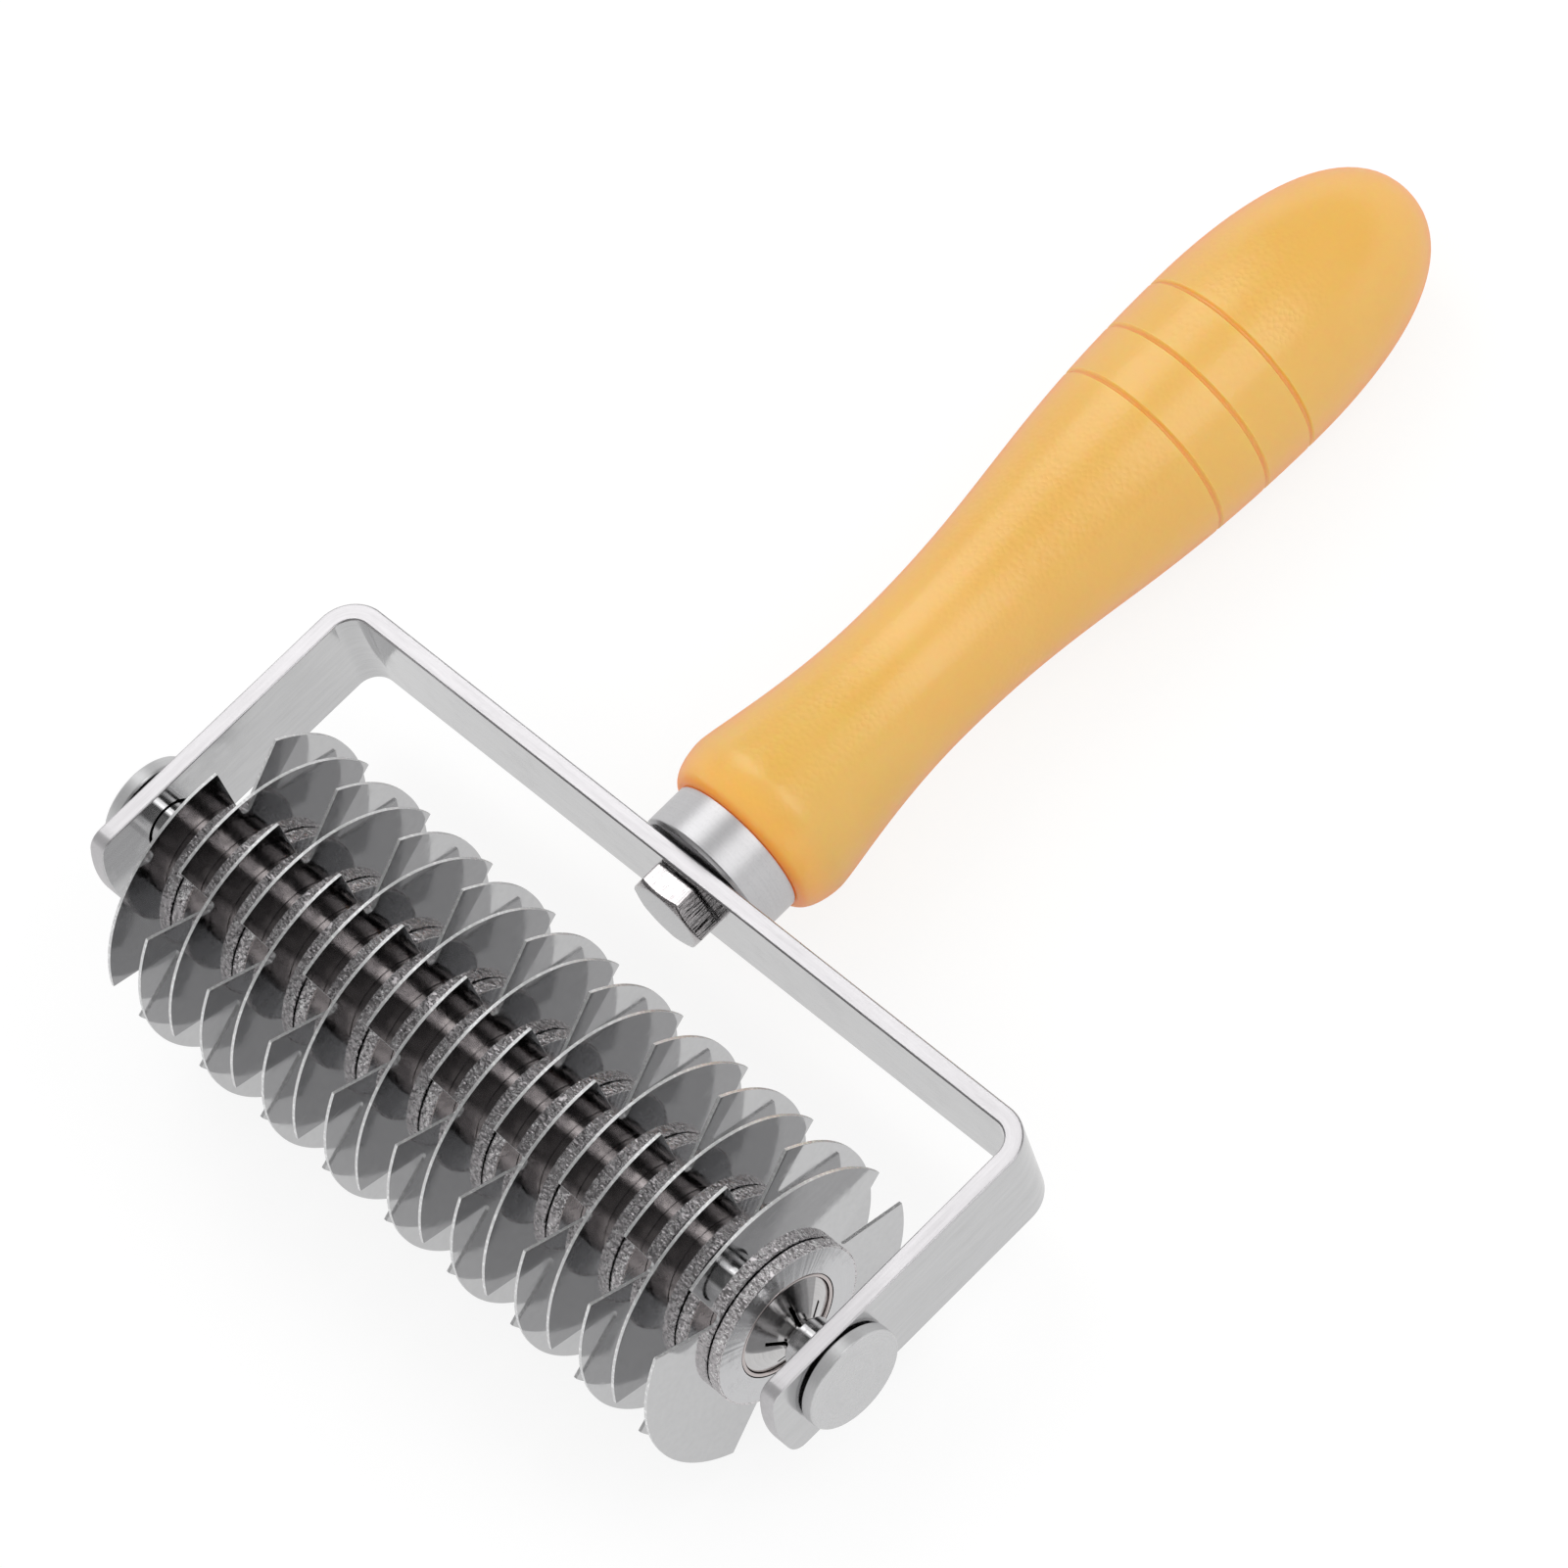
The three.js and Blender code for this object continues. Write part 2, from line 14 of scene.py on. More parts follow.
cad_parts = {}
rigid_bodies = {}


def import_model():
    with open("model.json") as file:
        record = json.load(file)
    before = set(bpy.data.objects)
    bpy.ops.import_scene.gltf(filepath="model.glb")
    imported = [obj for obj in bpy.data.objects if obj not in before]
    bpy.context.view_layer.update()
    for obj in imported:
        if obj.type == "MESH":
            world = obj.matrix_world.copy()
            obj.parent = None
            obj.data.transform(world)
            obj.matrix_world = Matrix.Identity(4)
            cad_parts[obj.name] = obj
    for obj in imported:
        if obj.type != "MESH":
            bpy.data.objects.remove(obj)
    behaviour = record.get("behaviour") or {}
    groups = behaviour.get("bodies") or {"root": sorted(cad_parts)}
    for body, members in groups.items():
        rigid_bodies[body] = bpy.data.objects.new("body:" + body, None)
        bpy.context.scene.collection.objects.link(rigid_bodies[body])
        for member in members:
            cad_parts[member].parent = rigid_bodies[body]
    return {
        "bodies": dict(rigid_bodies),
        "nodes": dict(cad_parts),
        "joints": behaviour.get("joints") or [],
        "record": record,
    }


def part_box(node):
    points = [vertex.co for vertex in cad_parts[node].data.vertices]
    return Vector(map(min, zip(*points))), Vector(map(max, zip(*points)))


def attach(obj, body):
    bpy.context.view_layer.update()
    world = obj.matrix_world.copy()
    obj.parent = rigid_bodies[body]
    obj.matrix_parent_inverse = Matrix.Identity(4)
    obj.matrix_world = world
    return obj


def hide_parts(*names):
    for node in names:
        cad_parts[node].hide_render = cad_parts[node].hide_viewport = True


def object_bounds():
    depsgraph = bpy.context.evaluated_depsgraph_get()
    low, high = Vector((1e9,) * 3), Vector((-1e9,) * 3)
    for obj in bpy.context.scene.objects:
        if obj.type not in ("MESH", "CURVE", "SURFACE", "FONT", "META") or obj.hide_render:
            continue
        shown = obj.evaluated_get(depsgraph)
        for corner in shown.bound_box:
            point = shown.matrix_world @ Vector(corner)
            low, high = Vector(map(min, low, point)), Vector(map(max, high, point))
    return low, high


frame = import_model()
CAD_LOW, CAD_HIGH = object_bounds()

LOG = logging.getLogger("roller_cutter")
STRIP_ATTRIBUTE = "strip_run"
MM = 0.001
MM_PER_M = 1000.0
FULL_TURN = 2 * math.pi
HALF_TURN = math.pi
QUARTER_TURN = math.pi / 2
MERGE_MM = 0.0005
NEAR_MM = 0.01

# Edges: segments across a rounded one, and the degrees from which one is rounded or shaded sharp
EDGE_STEPS = 2
BROAD_EDGE_STEPS = 3
ROUNDED_FROM = 35.0
SHARP_FROM = 40.0

Colour = tuple[float, float, float, float]
Triple = tuple[float, float, float]
Pair = tuple[float, float]
Curve = tuple[Vector, Vector, Vector, Vector]
Piece = bpy.types.Object
Socket = bpy.types.NodeSocket

WHITE: Colour = (1.0, 1.0, 1.0, 1.0)
BLACK: Colour = (0.0, 0.0, 0.0, 1.0)


class Axis(Enum):
    """A turning axis of the tool."""

    ALONG_AXLE = (1.0, 0.0, 0.0)
    ALONG_HANDLE = (0.0, 1.0, 0.0)
    UPRIGHT = (0.0, 0.0, 1.0)

    def point(self, radius: float, place: float) -> Vector:
        """The profile point at a radius and a place along this axis."""
        return Vector((place, radius, 0.0)) if self is Axis.ALONG_AXLE else Vector((radius, place, 0.0))


class Body(Enum):
    """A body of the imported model."""

    FRAME = "frame"
    ROLLER = "roller"


class Slot(Enum):
    """A material slot of the record."""

    BLADE = "blade_steel"
    RING = "ring_steel"
    HUB = "hub_steel"
    YOKE = "yoke_steel"
    CAP = "cap_steel"
    BOLT = "bolt_chrome"
    GRIP = "grip_plastic"


class Cut(Enum):
    """A way to combine two solids."""

    AWAY = "DIFFERENCE"
    COMMON = "INTERSECT"
    JOIN = "UNION"


class Effect(Enum):
    """A surface effect that several finishes share, by the name of the method that builds it."""

    ROLLED_LINES = "rolled_lines"
    TURNED_LINES = "turned_lines"
    HANDLING_MARKS = "handling_marks"
    GRAIN = "surface_grain"


class Cloud(Enum):
    """The number and strength of a noise's finer layers."""

    SOFT = (1.0, 0.4)
    EVEN = (2.0, 0.5)
    HARSH = (2.0, 0.6)
    DEEP = (3.0, 0.5)
    SMUDGED = (3.0, 0.55)
    FINE = (3.0, 0.6)


@dataclass(frozen=True)
class ToolSpace:
    """The tool's own axes in the frame: X along the axle, Y towards the handle, Z up, in millimetres."""

    origin: Vector
    tilt: float

    @classmethod
    def from_frame(cls, packed: dict) -> "ToolSpace":
        """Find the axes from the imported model.


        Returns:
            The tool's axes.
        """
        low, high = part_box("yoke")
        axle = packed["joints"][0]["pos_m"]
        back = next(mount for mount in packed["record"]["mounts"] if mount["name"] == "yoke_back")
        tilt = math.atan2(-back["axis"][2], back["axis"][1])
        return cls(Vector(((low.x + high.x) / 2, axle[1], axle[2])), tilt)

    def matrix(self) -> Matrix:
        """The move from the tool's millimetres to the frame's metres."""
        turn = Matrix.Rotation(-self.tilt, 4, "X")
        return Matrix.Translation(self.origin) @ turn @ Matrix.Scale(MM, 4)

    def direction(self, line: Sequence[float]) -> Vector:
        """A direction of the tool's axes in the frame, with a length of one."""
        return (Matrix.Rotation(-self.tilt, 3, "X") @ Vector(line)).normalized()


class Bench:
    """Edit mode work on one piece at a time, in the tool's axes and millimetres."""

    @staticmethod
    def clear() -> None:
        """Leave edit mode and deselect everything."""
        if bpy.context.object is not None and bpy.context.object.mode != "OBJECT":
            bpy.ops.object.mode_set(mode="OBJECT")
        bpy.ops.object.select_all(action="DESELECT")

    @staticmethod
    def take(work: Piece) -> None:
        """Make one piece the only selected and active one.

        Args:
            work: The piece.
        """
        Bench.clear()
        work.select_set(True)
        bpy.context.view_layer.objects.active = work

    @staticmethod
    def edit(work: Piece) -> None:
        """Take a piece and enter edit mode with all of it selected.

        Args:
            work: The piece.
        """
        Bench.take(work)
        bpy.ops.object.mode_set(mode="EDIT")
        bpy.ops.mesh.select_mode(type="VERT")
        bpy.ops.mesh.select_all(action="SELECT")

    @staticmethod
    def newest(name: str) -> Piece:
        """Name the piece that was just added, and its mesh.

        Args:
            name: The name.

        Returns:
            The piece.
        """
        work = bpy.context.object
        work.name = name
        work.data.name = name
        return work

    @staticmethod
    def extrude(move: Sequence[float]) -> None:
        """Extrude what is selected."""
        bpy.ops.mesh.extrude_region_move(TRANSFORM_OT_translate={"value": move})

    @staticmethod
    def spin(steps: int, angle: float, axis: Axis, centre: Vector = Vector(), copies: bool = False) -> None:
        """Spin what is selected about an axis of the tool, by the right-hand rule.

        Args:
            steps: Number of steps.
            angle: Whole angle in radians.
            axis: Direction of the spin's axis.
            centre: A point on the axis.
            copies: True to place copies rather than to sweep faces.
        """
        bpy.ops.mesh.spin(steps=steps, dupli=copies, angle=-angle, center=centre, axis=axis.value)

    @staticmethod
    def close_mesh() -> None:
        """Merge doubles, point all faces outwards and leave edit mode."""
        bpy.ops.mesh.select_all(action="SELECT")
        bpy.ops.mesh.remove_doubles(threshold=MERGE_MM)
        bpy.ops.mesh.normals_make_consistent(inside=False)
        bpy.ops.object.mode_set(mode="OBJECT")

    @staticmethod
    def settle(work: Piece, move: Matrix) -> None:
        """Move a piece and put its place into its mesh.

        Args:
            work: The piece.
            move: The move.
        """
        Bench.take(work)
        work.matrix_world = move
        bpy.ops.object.transform_apply(location=True, rotation=True, scale=True)

    @staticmethod
    def lay(work: Piece, move: Matrix, size: Sequence[float]) -> None:
        """Settle a piece, enter edit mode and stretch it about its middle.

        Args:
            work: The piece.
            move: Where it goes.
            size: How far it is stretched along each axis.
        """
        Bench.settle(work, move)
        Bench.edit(work)
        bpy.ops.transform.resize(value=size, center_override=move.translation)

    @staticmethod
    def twin(work: Piece, name: str, move: Matrix) -> Piece:
        """Copy a piece with a mesh of its own.

        Args:
            work: The piece to copy.
            name: Name of the copy.
            move: Where the copy goes, in the tool's axes.

        Returns:
            The copy, with its place in its mesh.
        """
        Bench.take(work)
        bpy.ops.object.duplicate(linked=False)
        copy = Bench.newest(name)
        Bench.settle(copy, move)
        return copy

    @staticmethod
    def change(work: Piece, kind: str, **settings: object) -> None:
        """Add a modifier to a piece and apply it.

        Args:
            work: The piece.
            kind: The modifier's type name.
            settings: Its properties.
        """
        made = work.modifiers.new(kind.lower(), kind)
        for key, value in settings.items():
            setattr(made, key, value)
        Bench.take(work)
        bpy.ops.object.modifier_apply(modifier=made.name)

    @staticmethod
    def soften(work: Piece, width: float, steps: int = EDGE_STEPS, corner: float = ROUNDED_FROM) -> None:
        """Round the sharp edges of a piece.

        Args:
            work: The piece.
            width: Width of the rounding.
            steps: Segments across it.
            corner: Least angle, in degrees, of an edge that is rounded.
        """
        limit = {"limit_method": "ANGLE", "angle_limit": math.radians(corner), "use_clamp_overlap": False}
        Bench.change(work, "BEVEL", width=width, segments=steps, **limit)

    @staticmethod
    def smooth(work: Piece, corner: float = SHARP_FROM) -> None:
        """Shade a piece smooth, with its flat faces kept flat.

        Args:
            work: The piece.
            corner: Least angle, in degrees, of a sharp edge.
        """
        Bench.take(work)
        bpy.ops.object.shade_smooth_by_angle(angle=math.radians(corner))
        Bench.change(work, "WEIGHTED_NORMAL", keep_sharp=True)

    @staticmethod
    def combine(work: Piece, tool: Piece, way: Cut) -> None:
        """Cut or join a second shape, which is used up."""
        Bench.change(work, "BOOLEAN", operation=way.value, object=tool, solver="EXACT")
        bpy.data.meshes.remove(tool.data)

    @staticmethod
    def turned(name: str, profile: Sequence[Pair], axis: Axis, sides: int, ring: bool = False) -> Piece:
        """Turn a profile about an axis of the tool, as on a lathe.

        Args:
            name: Name of the piece.
            profile: Points of radius and place.
            axis: The turning axis.
            sides: Steps of the whole turn.
            ring: True if the profile's end joins its start.

        Returns:
            The closed piece.
        """
        pen = Pen(name, axis.point(*profile[0]))
        for radius, place in profile[1:]:
            pen.line_to(axis.point(radius, place))
        if ring:
            pen.close()
        bpy.ops.mesh.select_all(action="SELECT")
        Bench.spin(sides, FULL_TURN, axis)
        Bench.close_mesh()
        return pen.work

    @staticmethod
    def bar(name: str, radius: float, start: float, end: float, axis: Axis, sides: int) -> Piece:
        """Turn a plain round bar between two places of an axis."""
        profile = [(0.0, start), (radius, start), (radius, end), (0.0, end)]
        return Bench.turned(name, profile, axis, sides)


class Pen:
    """Draws a wire outline from one vertex, by extruding and spinning its end."""

    def __init__(self, name: str, start: Vector) -> None:
        """Start an outline.

        Args:
            name: Name of the new piece.
            start: Place of its first vertex.
        """
        Bench.clear()
        bpy.ops.mesh.primitive_plane_add(size=1.0, location=(0.0, 0.0, 0.0))
        self.work = Bench.newest(name)
        bpy.ops.object.mode_set(mode="EDIT")
        bpy.ops.mesh.select_mode(type="VERT")
        bpy.ops.mesh.merge(type="CENTER")
        bpy.ops.transform.translate(value=start)
        self.end = start.copy()

    def line_to(self, end: Vector) -> None:
        """Draw a straight stretch to a point."""
        bpy.ops.mesh.extrude_vertices_move(TRANSFORM_OT_translate={"value": end - self.end})
        self.end = end.copy()

    def arc(self, centre: Vector, angle: float, steps: int) -> None:
        """Draw an arc about the axle's direction, by the right-hand rule.

        Args:
            centre: Centre of the arc.
            angle: Its angle in radians.
            steps: Number of stretches.
        """
        Bench.spin(steps, angle, Axis.ALONG_AXLE, centre)
        self.end = centre + Matrix.Rotation(angle, 3, "X") @ (self.end - centre)

    def close(self) -> None:
        """Join the outline's two ends with an edge."""
        bpy.ops.mesh.select_all(action="DESELECT")
        mesh = bmesh.from_edit_mesh(self.work.data)
        for vertex in mesh.verts:
            vertex.select_set(len(vertex.link_edges) == 1)
        bmesh.update_edit_mesh(self.work.data)
        bpy.ops.mesh.edge_face_add()


class NodeDesk:
    """Lays out shader nodes in one tree and joins them."""

    RIM_RANGE: Pair = (0.8, 0.4)

    def __init__(self, tree: bpy.types.NodeTree) -> None:
        """Work in one node tree, which is emptied first."""
        self.tree = tree
        self.tree.nodes.clear()

    def feed(self, node: bpy.types.Node, feeds: dict) -> None:
        """Link or set the inputs of a node.

        Args:
            node: The node.
            feeds: Sockets or values, by the input's name or number.
        """
        for key, value in feeds.items():
            if isinstance(value, Socket):
                self.tree.links.new(value, node.inputs[key])
            else:
                node.inputs[key].default_value = value

    def add(self, kind: str, feeds: dict | None = None, **settings: object) -> bpy.types.Node:
        """Add a node.

        Args:
            kind: The node's type name.
            feeds: Sockets or values for its inputs.
            settings: Properties of the node.

        Returns:
            The node.
        """
        made = self.tree.nodes.new(kind)
        for key, value in settings.items():
            setattr(made, key, value)
        self.feed(made, feeds or {})
        return made

    def math(self, operation: str, *values: object) -> Socket:
        """A Math node's value."""
        return self.add("ShaderNodeMath", dict(enumerate(values)), operation=operation).outputs[0]

    def off(self, value: Socket, place: float) -> Socket:
        """How far a value is from a place."""
        return self.math("ABSOLUTE", self.math("SUBTRACT", value, place))

    def stretch(self, place: Socket, scale: Triple) -> Socket:
        """A place scaled along each axis."""
        return self.add("ShaderNodeVectorMath", {0: place, 1: scale}, operation="MULTIPLY").outputs[0]

    def split(self, place: Socket) -> bpy.types.NodeOutputs:
        """The three parts of a place."""
        return self.add("ShaderNodeSeparateXYZ", {0: place}).outputs

    def join(self, *parts: Socket) -> Socket:
        """A place from its three parts."""
        return self.add("ShaderNodeCombineXYZ", dict(enumerate(parts))).outputs[0]

    def noise(self, place: Socket, scale: object, cloud: Cloud) -> Socket:
        """A noise value between 0 and 1, with a number of cells per unit of the place."""
        feeds = {"Vector": place, "Scale": scale, "Detail": cloud.value[0], "Roughness": cloud.value[1]}
        return self.add("ShaderNodeTexNoise", feeds).outputs[0]

    def between(self, value: Socket, limits: Pair, start: float = 0.0, end: float = 1.0) -> Socket:
        """Map a value smoothly from one range to another.

        Args:
            value: The value.
            limits: Start and end of its own range.
            start: Result at the range's start.
            end: Result at the range's end.

        Returns:
            The mapped value, kept inside the new range.
        """
        ends = ("Value", "From Min", "From Max", "To Min", "To Max")
        feeds = dict(zip(ends, (value, *limits, start, end)))
        return self.add("ShaderNodeMapRange", feeds, interpolation_type="SMOOTHSTEP").outputs[0]

    def span(self, share: Socket, ends: Pair) -> Socket:
        """A value that runs smoothly between two ends as a share runs from 0 to 1."""
        return self.between(share, (0.0, 1.0), *ends)

    def tint(self, share: Socket, first: object, second: object) -> Socket:
        """A mix of two colours."""
        return self.add("ShaderNodeMix", {0: share, 6: first, 7: second}, data_type="RGBA").outputs[2]

    def blend(self, share: Socket, first: object, second: object) -> Socket:
        """A mix of two values."""
        return self.add("ShaderNodeMix", {0: share, 2: first, 3: second}, data_type="FLOAT").outputs[0]

    def overlay(self, share: Socket, first: bpy.types.Node, second: bpy.types.Node) -> bpy.types.Node:
        """A mix of two shaders."""
        return self.add("ShaderNodeMixShader", {0: share, 1: first.outputs[0], 2: second.outputs[0]})

    def bump(self, height: Socket, depth_mm: float) -> Socket:
        """A normal bent by a height in millimetres."""
        feeds = {"Height": height, "Distance": depth_mm * MM, "Strength": 1.0}
        return self.add("ShaderNodeBump", feeds).outputs[0]

    def rim(self, axis: Axis) -> Socket:
        """A mask of the surfaces that stand along an axis rather than across it."""
        normal = self.split(self.add("ShaderNodeTexCoord").outputs["Normal"])
        return self.between(self.math("ABSOLUTE", normal[axis.value.index(1.0)]), self.RIM_RANGE)

    def effect(self, kind: Effect, place: Socket, fineness: float) -> bpy.types.NodeOutputs:
        """The outputs of a shared effect."""
        feeds = {"Place": place, "Fineness": fineness}
        return self.add("ShaderNodeGroup", feeds, node_tree=EffectShop.get(kind)).outputs


class EffectShop(NodeDesk):
    """Builds a shared effect as a shader node group that reads a place and a fineness per millimetre."""

    LINE_STRETCH: Triple = (0.045, 1.0, 1.0)
    STREAK_STRETCH: Triple = (0.02, 0.22, 0.22)
    TURN_SHARE: float = 0.15
    SMUDGE_RANGE: Pair = (0.42, 0.7)
    HAIR_FINENESS: float = 14.0
    HAIR_STRETCHES: tuple[Triple, Triple] = ((1.0, 0.06, 0.8), (0.07, 1.0, 0.9))
    HAIR_RANGE: Pair = (0.68, 0.78)
    GRAIN_RANGE: Pair = (0.1, 0.75)
    SPECK_RANGE: Pair = (0.48, 0.68)

    def __init__(self, kind: Effect) -> None:
        """Build the node group of an effect.

        Args:
            kind: The effect.
        """
        super().__init__(bpy.data.node_groups.new(kind.value, "ShaderNodeTree"))
        sockets = self.tree.interface
        sockets.new_socket("Place", in_out="INPUT", socket_type="NodeSocketVector")
        sockets.new_socket("Fineness", in_out="INPUT", socket_type="NodeSocketFloat")
        self.place, self.fineness = self.add("NodeGroupInput").outputs[:2]
        results = getattr(self, kind.value)()
        for name in results:
            sockets.new_socket(name, in_out="OUTPUT", socket_type="NodeSocketFloat")
        self.add("NodeGroupOutput", results)

    @staticmethod
    def get(kind: Effect) -> bpy.types.NodeTree:
        """The node group of an effect, built when it is first asked for."""
        return bpy.data.node_groups.get(kind.value) or EffectShop(kind).tree

    def rolled_lines(self) -> dict[str, Socket]:
        """Long fine lines along X, as on rolled or ground strip.

        Returns:
            Lines and the broader Streaks, both between 0 and 1.
        """
        fine = self.noise(self.stretch(self.place, self.LINE_STRETCH), self.fineness, Cloud.FINE)
        broad = self.noise(self.stretch(self.place, self.STREAK_STRETCH), self.fineness, Cloud.EVEN)
        return {"Lines": fine, "Streaks": broad}

    def turned_lines(self) -> dict[str, Socket]:
        """Fine lines around the X axis, as from a lathe.

        Returns:
            Lines, between 0 and 1, and Radius, in the unit of the place.
        """
        along, across, up = self.split(self.place)
        squares = [self.math("POWER", part, 2.0) for part in (across, up)]
        radius = self.math("SQRT", self.math("ADD", *squares))
        angle = self.math("ARCTAN2", up, across)
        rings = self.join(along, radius, self.math("MULTIPLY", angle, self.TURN_SHARE))
        return {"Lines": self.noise(rings, self.fineness, Cloud.FINE), "Radius": radius}

    def handling_marks(self) -> dict[str, Socket]:
        """Smudges and hair scratches of a handled surface.

        Returns:
            Smudge and Scratch, both between 0 and 1.
        """
        smudge = self.between(self.noise(self.place, self.fineness, Cloud.SMUDGED), self.SMUDGE_RANGE)
        tighter = self.math("MULTIPLY", self.fineness, self.HAIR_FINENESS)
        ways = [self.stretch(self.place, scale) for scale in self.HAIR_STRETCHES]
        hairs = self.math("MAXIMUM", *(self.noise(way, tighter, Cloud.SOFT) for way in ways))
        return {"Smudge": smudge, "Scratch": self.between(hairs, self.HAIR_RANGE)}

    def surface_grain(self) -> dict[str, Socket]:
        """Small round grains, as on broken metal or moulded plastic.

        Returns:
            Height and Speck, both between 0 and 1.
        """
        feeds = {"Vector": self.place, "Scale": self.fineness, "Randomness": 1.0}
        cells = self.add("ShaderNodeTexVoronoi", feeds).outputs["Distance"]
        speck = self.between(self.noise(self.place, self.fineness, Cloud.HARSH), self.SPECK_RANGE)
        return {"Height": self.between(cells, self.GRAIN_RANGE), "Speck": speck}


class Skin(NodeDesk):
    """The nodes of one material, with the shaded point in the tool's axes and millimetres."""

    def __init__(self, name: str, space: ToolSpace) -> None:
        """Make a material.

        Args:
            name: Name of the material.
            space: The tool's axes, which patterns follow.
        """
        self.material = bpy.data.materials.new(name)
        self.material.use_nodes = True
        super().__init__(self.material.node_tree)
        feeds = {
            "Vector": self.add("ShaderNodeTexCoord").outputs["Object"],
            "Location": Matrix.Rotation(space.tilt, 3, "X") @ space.origin * -MM_PER_M,
            "Rotation": (space.tilt, 0.0, 0.0),
            "Scale": (MM_PER_M,) * 3,
        }
        self.place = self.add("ShaderNodeMapping", feeds).outputs[0]

    def along_handle(self) -> Socket:
        """The shaded point with the handle's direction first."""
        along_x, along_y, along_z = self.split(self.place)
        return self.join(along_y, along_z, along_x)

    def worn(self, per_mm: float, smudge_share: float = 1.0) -> Socket:
        """A mask of scratches and of a share of the smudges."""
        marks = self.effect(Effect.HANDLING_MARKS, self.place, per_mm)
        return self.math("MAXIMUM", self.math("MULTIPLY", marks["Smudge"], smudge_share), marks["Scratch"])


@dataclass(frozen=True)
class Finish:
    """A surface finish, which makes one node material."""

    name: str

    def material(self, space: ToolSpace) -> bpy.types.Material:
        """Make the material, or give the one made before.

        Args:
            space: The tool's axes, which patterns follow.

        Returns:
            The material.
        """
        known = bpy.data.materials.get(self.name)
        if known is not None:
            return known
        skin = Skin(self.name, space)
        shader = skin.add("ShaderNodeBsdfPrincipled", self.paint(skin))
        skin.add("ShaderNodeOutputMaterial", {"Surface": shader.outputs["BSDF"]})
        return skin.material

    def paint(self, skin: Skin) -> dict[str, object]:
        """The shader's inputs. Each finish has its own way."""
        raise NotImplementedError


@dataclass(frozen=True)
class DiscSteel(Finish):
    """Mirror-polished thin sheet with hair lines and smudges, and a rough bright rim."""

    deep: Colour = (0.56, 0.56, 0.565, 1.0)
    bright: Colour = (0.62, 0.62, 0.625, 1.0)
    rim_deep: Colour = (0.72, 0.72, 0.725, 1.0)
    rim_bright: Colour = (0.95, 0.95, 0.95, 1.0)
    rim_rough: float = 0.5
    gloss: Pair = (0.05, 0.15)
    line_stretch: Triple = (9.0, 1.0, 1.0)
    lines_per_mm: float = 5.0
    grains_per_mm: float = 2.2
    marks_per_mm: float = 0.35
    smudge_share: float = 0.6
    waves_per_mm: float = 0.12
    wave_mm: float = 0.02

    def paint(self, skin: Skin) -> dict[str, object]:
        """Take colour from streaks, roughness from marks, and a slight wave of the sheet.

        Args:
            skin: The material's nodes.

        Returns:
            The shader's inputs.
        """
        across = skin.stretch(skin.place, self.line_stretch)
        streaks = skin.effect(Effect.ROLLED_LINES, across, self.lines_per_mm)["Streaks"]
        speck = skin.effect(Effect.GRAIN, skin.place, self.grains_per_mm)["Speck"]
        rim = skin.rim(Axis.ALONG_AXLE)
        sheet = skin.tint(streaks, self.deep, self.bright)
        cut = skin.tint(speck, self.rim_deep, self.rim_bright)
        gloss = skin.span(skin.worn(self.marks_per_mm, self.smudge_share), self.gloss)
        return {
            "Metallic": 1.0,
            "Base Color": skin.tint(rim, sheet, cut),
            "Roughness": skin.blend(rim, gloss, self.rim_rough),
            "Normal": skin.bump(skin.noise(skin.place, self.waves_per_mm, Cloud.SOFT), self.wave_mm),
        }


@dataclass(frozen=True)
class RingSteel(Finish):
    """Turned faces with a rough, sheared outer edge."""

    edge_range: Pair = (11.75, 11.95)
    face_deep: Colour = (0.6, 0.6, 0.61, 1.0)
    face_bright: Colour = (0.68, 0.68, 0.69, 1.0)
    face_gloss: Pair = (0.18, 0.3)
    edge_deep: Colour = (0.72, 0.685, 0.695, 1.0)
    edge_bright: Colour = (1.0, 0.99, 0.99, 1.0)
    edge_gloss: Pair = (0.28, 0.16)
    edge_metal: Pair = (1.0, 0.6)
    lines_per_mm: float = 7.0
    line_share: float = 0.01
    grain_stretch: Triple = (0.6, 1.0, 1.0)
    grains_per_mm: float = 1.9
    grain_mm: float = 0.12
    marks_per_mm: float = 0.5

    def paint(self, skin: Skin) -> dict[str, object]:
        """Take turned lines inside the edge and broken grain on it.

        Args:
            skin: The material's nodes.

        Returns:
            The shader's inputs.
        """
        turned = skin.effect(Effect.TURNED_LINES, skin.place, self.lines_per_mm)
        across = skin.stretch(skin.place, self.grain_stretch)
        grain = skin.effect(Effect.GRAIN, across, self.grains_per_mm)
        smudge = skin.effect(Effect.HANDLING_MARKS, skin.place, self.marks_per_mm)["Smudge"]
        edge = skin.between(turned["Radius"], self.edge_range)
        face = skin.tint(turned["Lines"], self.face_deep, self.face_bright)
        broken = skin.tint(grain["Speck"], self.edge_deep, self.edge_bright)
        face_gloss = skin.span(smudge, self.face_gloss)
        edge_gloss = skin.span(grain["Speck"], self.edge_gloss)
        torn = skin.math("MULTIPLY", skin.math("ADD", grain["Speck"], grain["Height"]), edge)
        ridged = skin.math("MULTIPLY_ADD", turned["Lines"], self.line_share, torn)
        return {
            "Metallic": skin.blend(edge, 1.0, skin.span(grain["Speck"], self.edge_metal)),
            "Base Color": skin.tint(edge, face, broken),
            "Roughness": skin.blend(edge, face_gloss, edge_gloss),
            "Normal": skin.bump(ridged, self.grain_mm),
        }


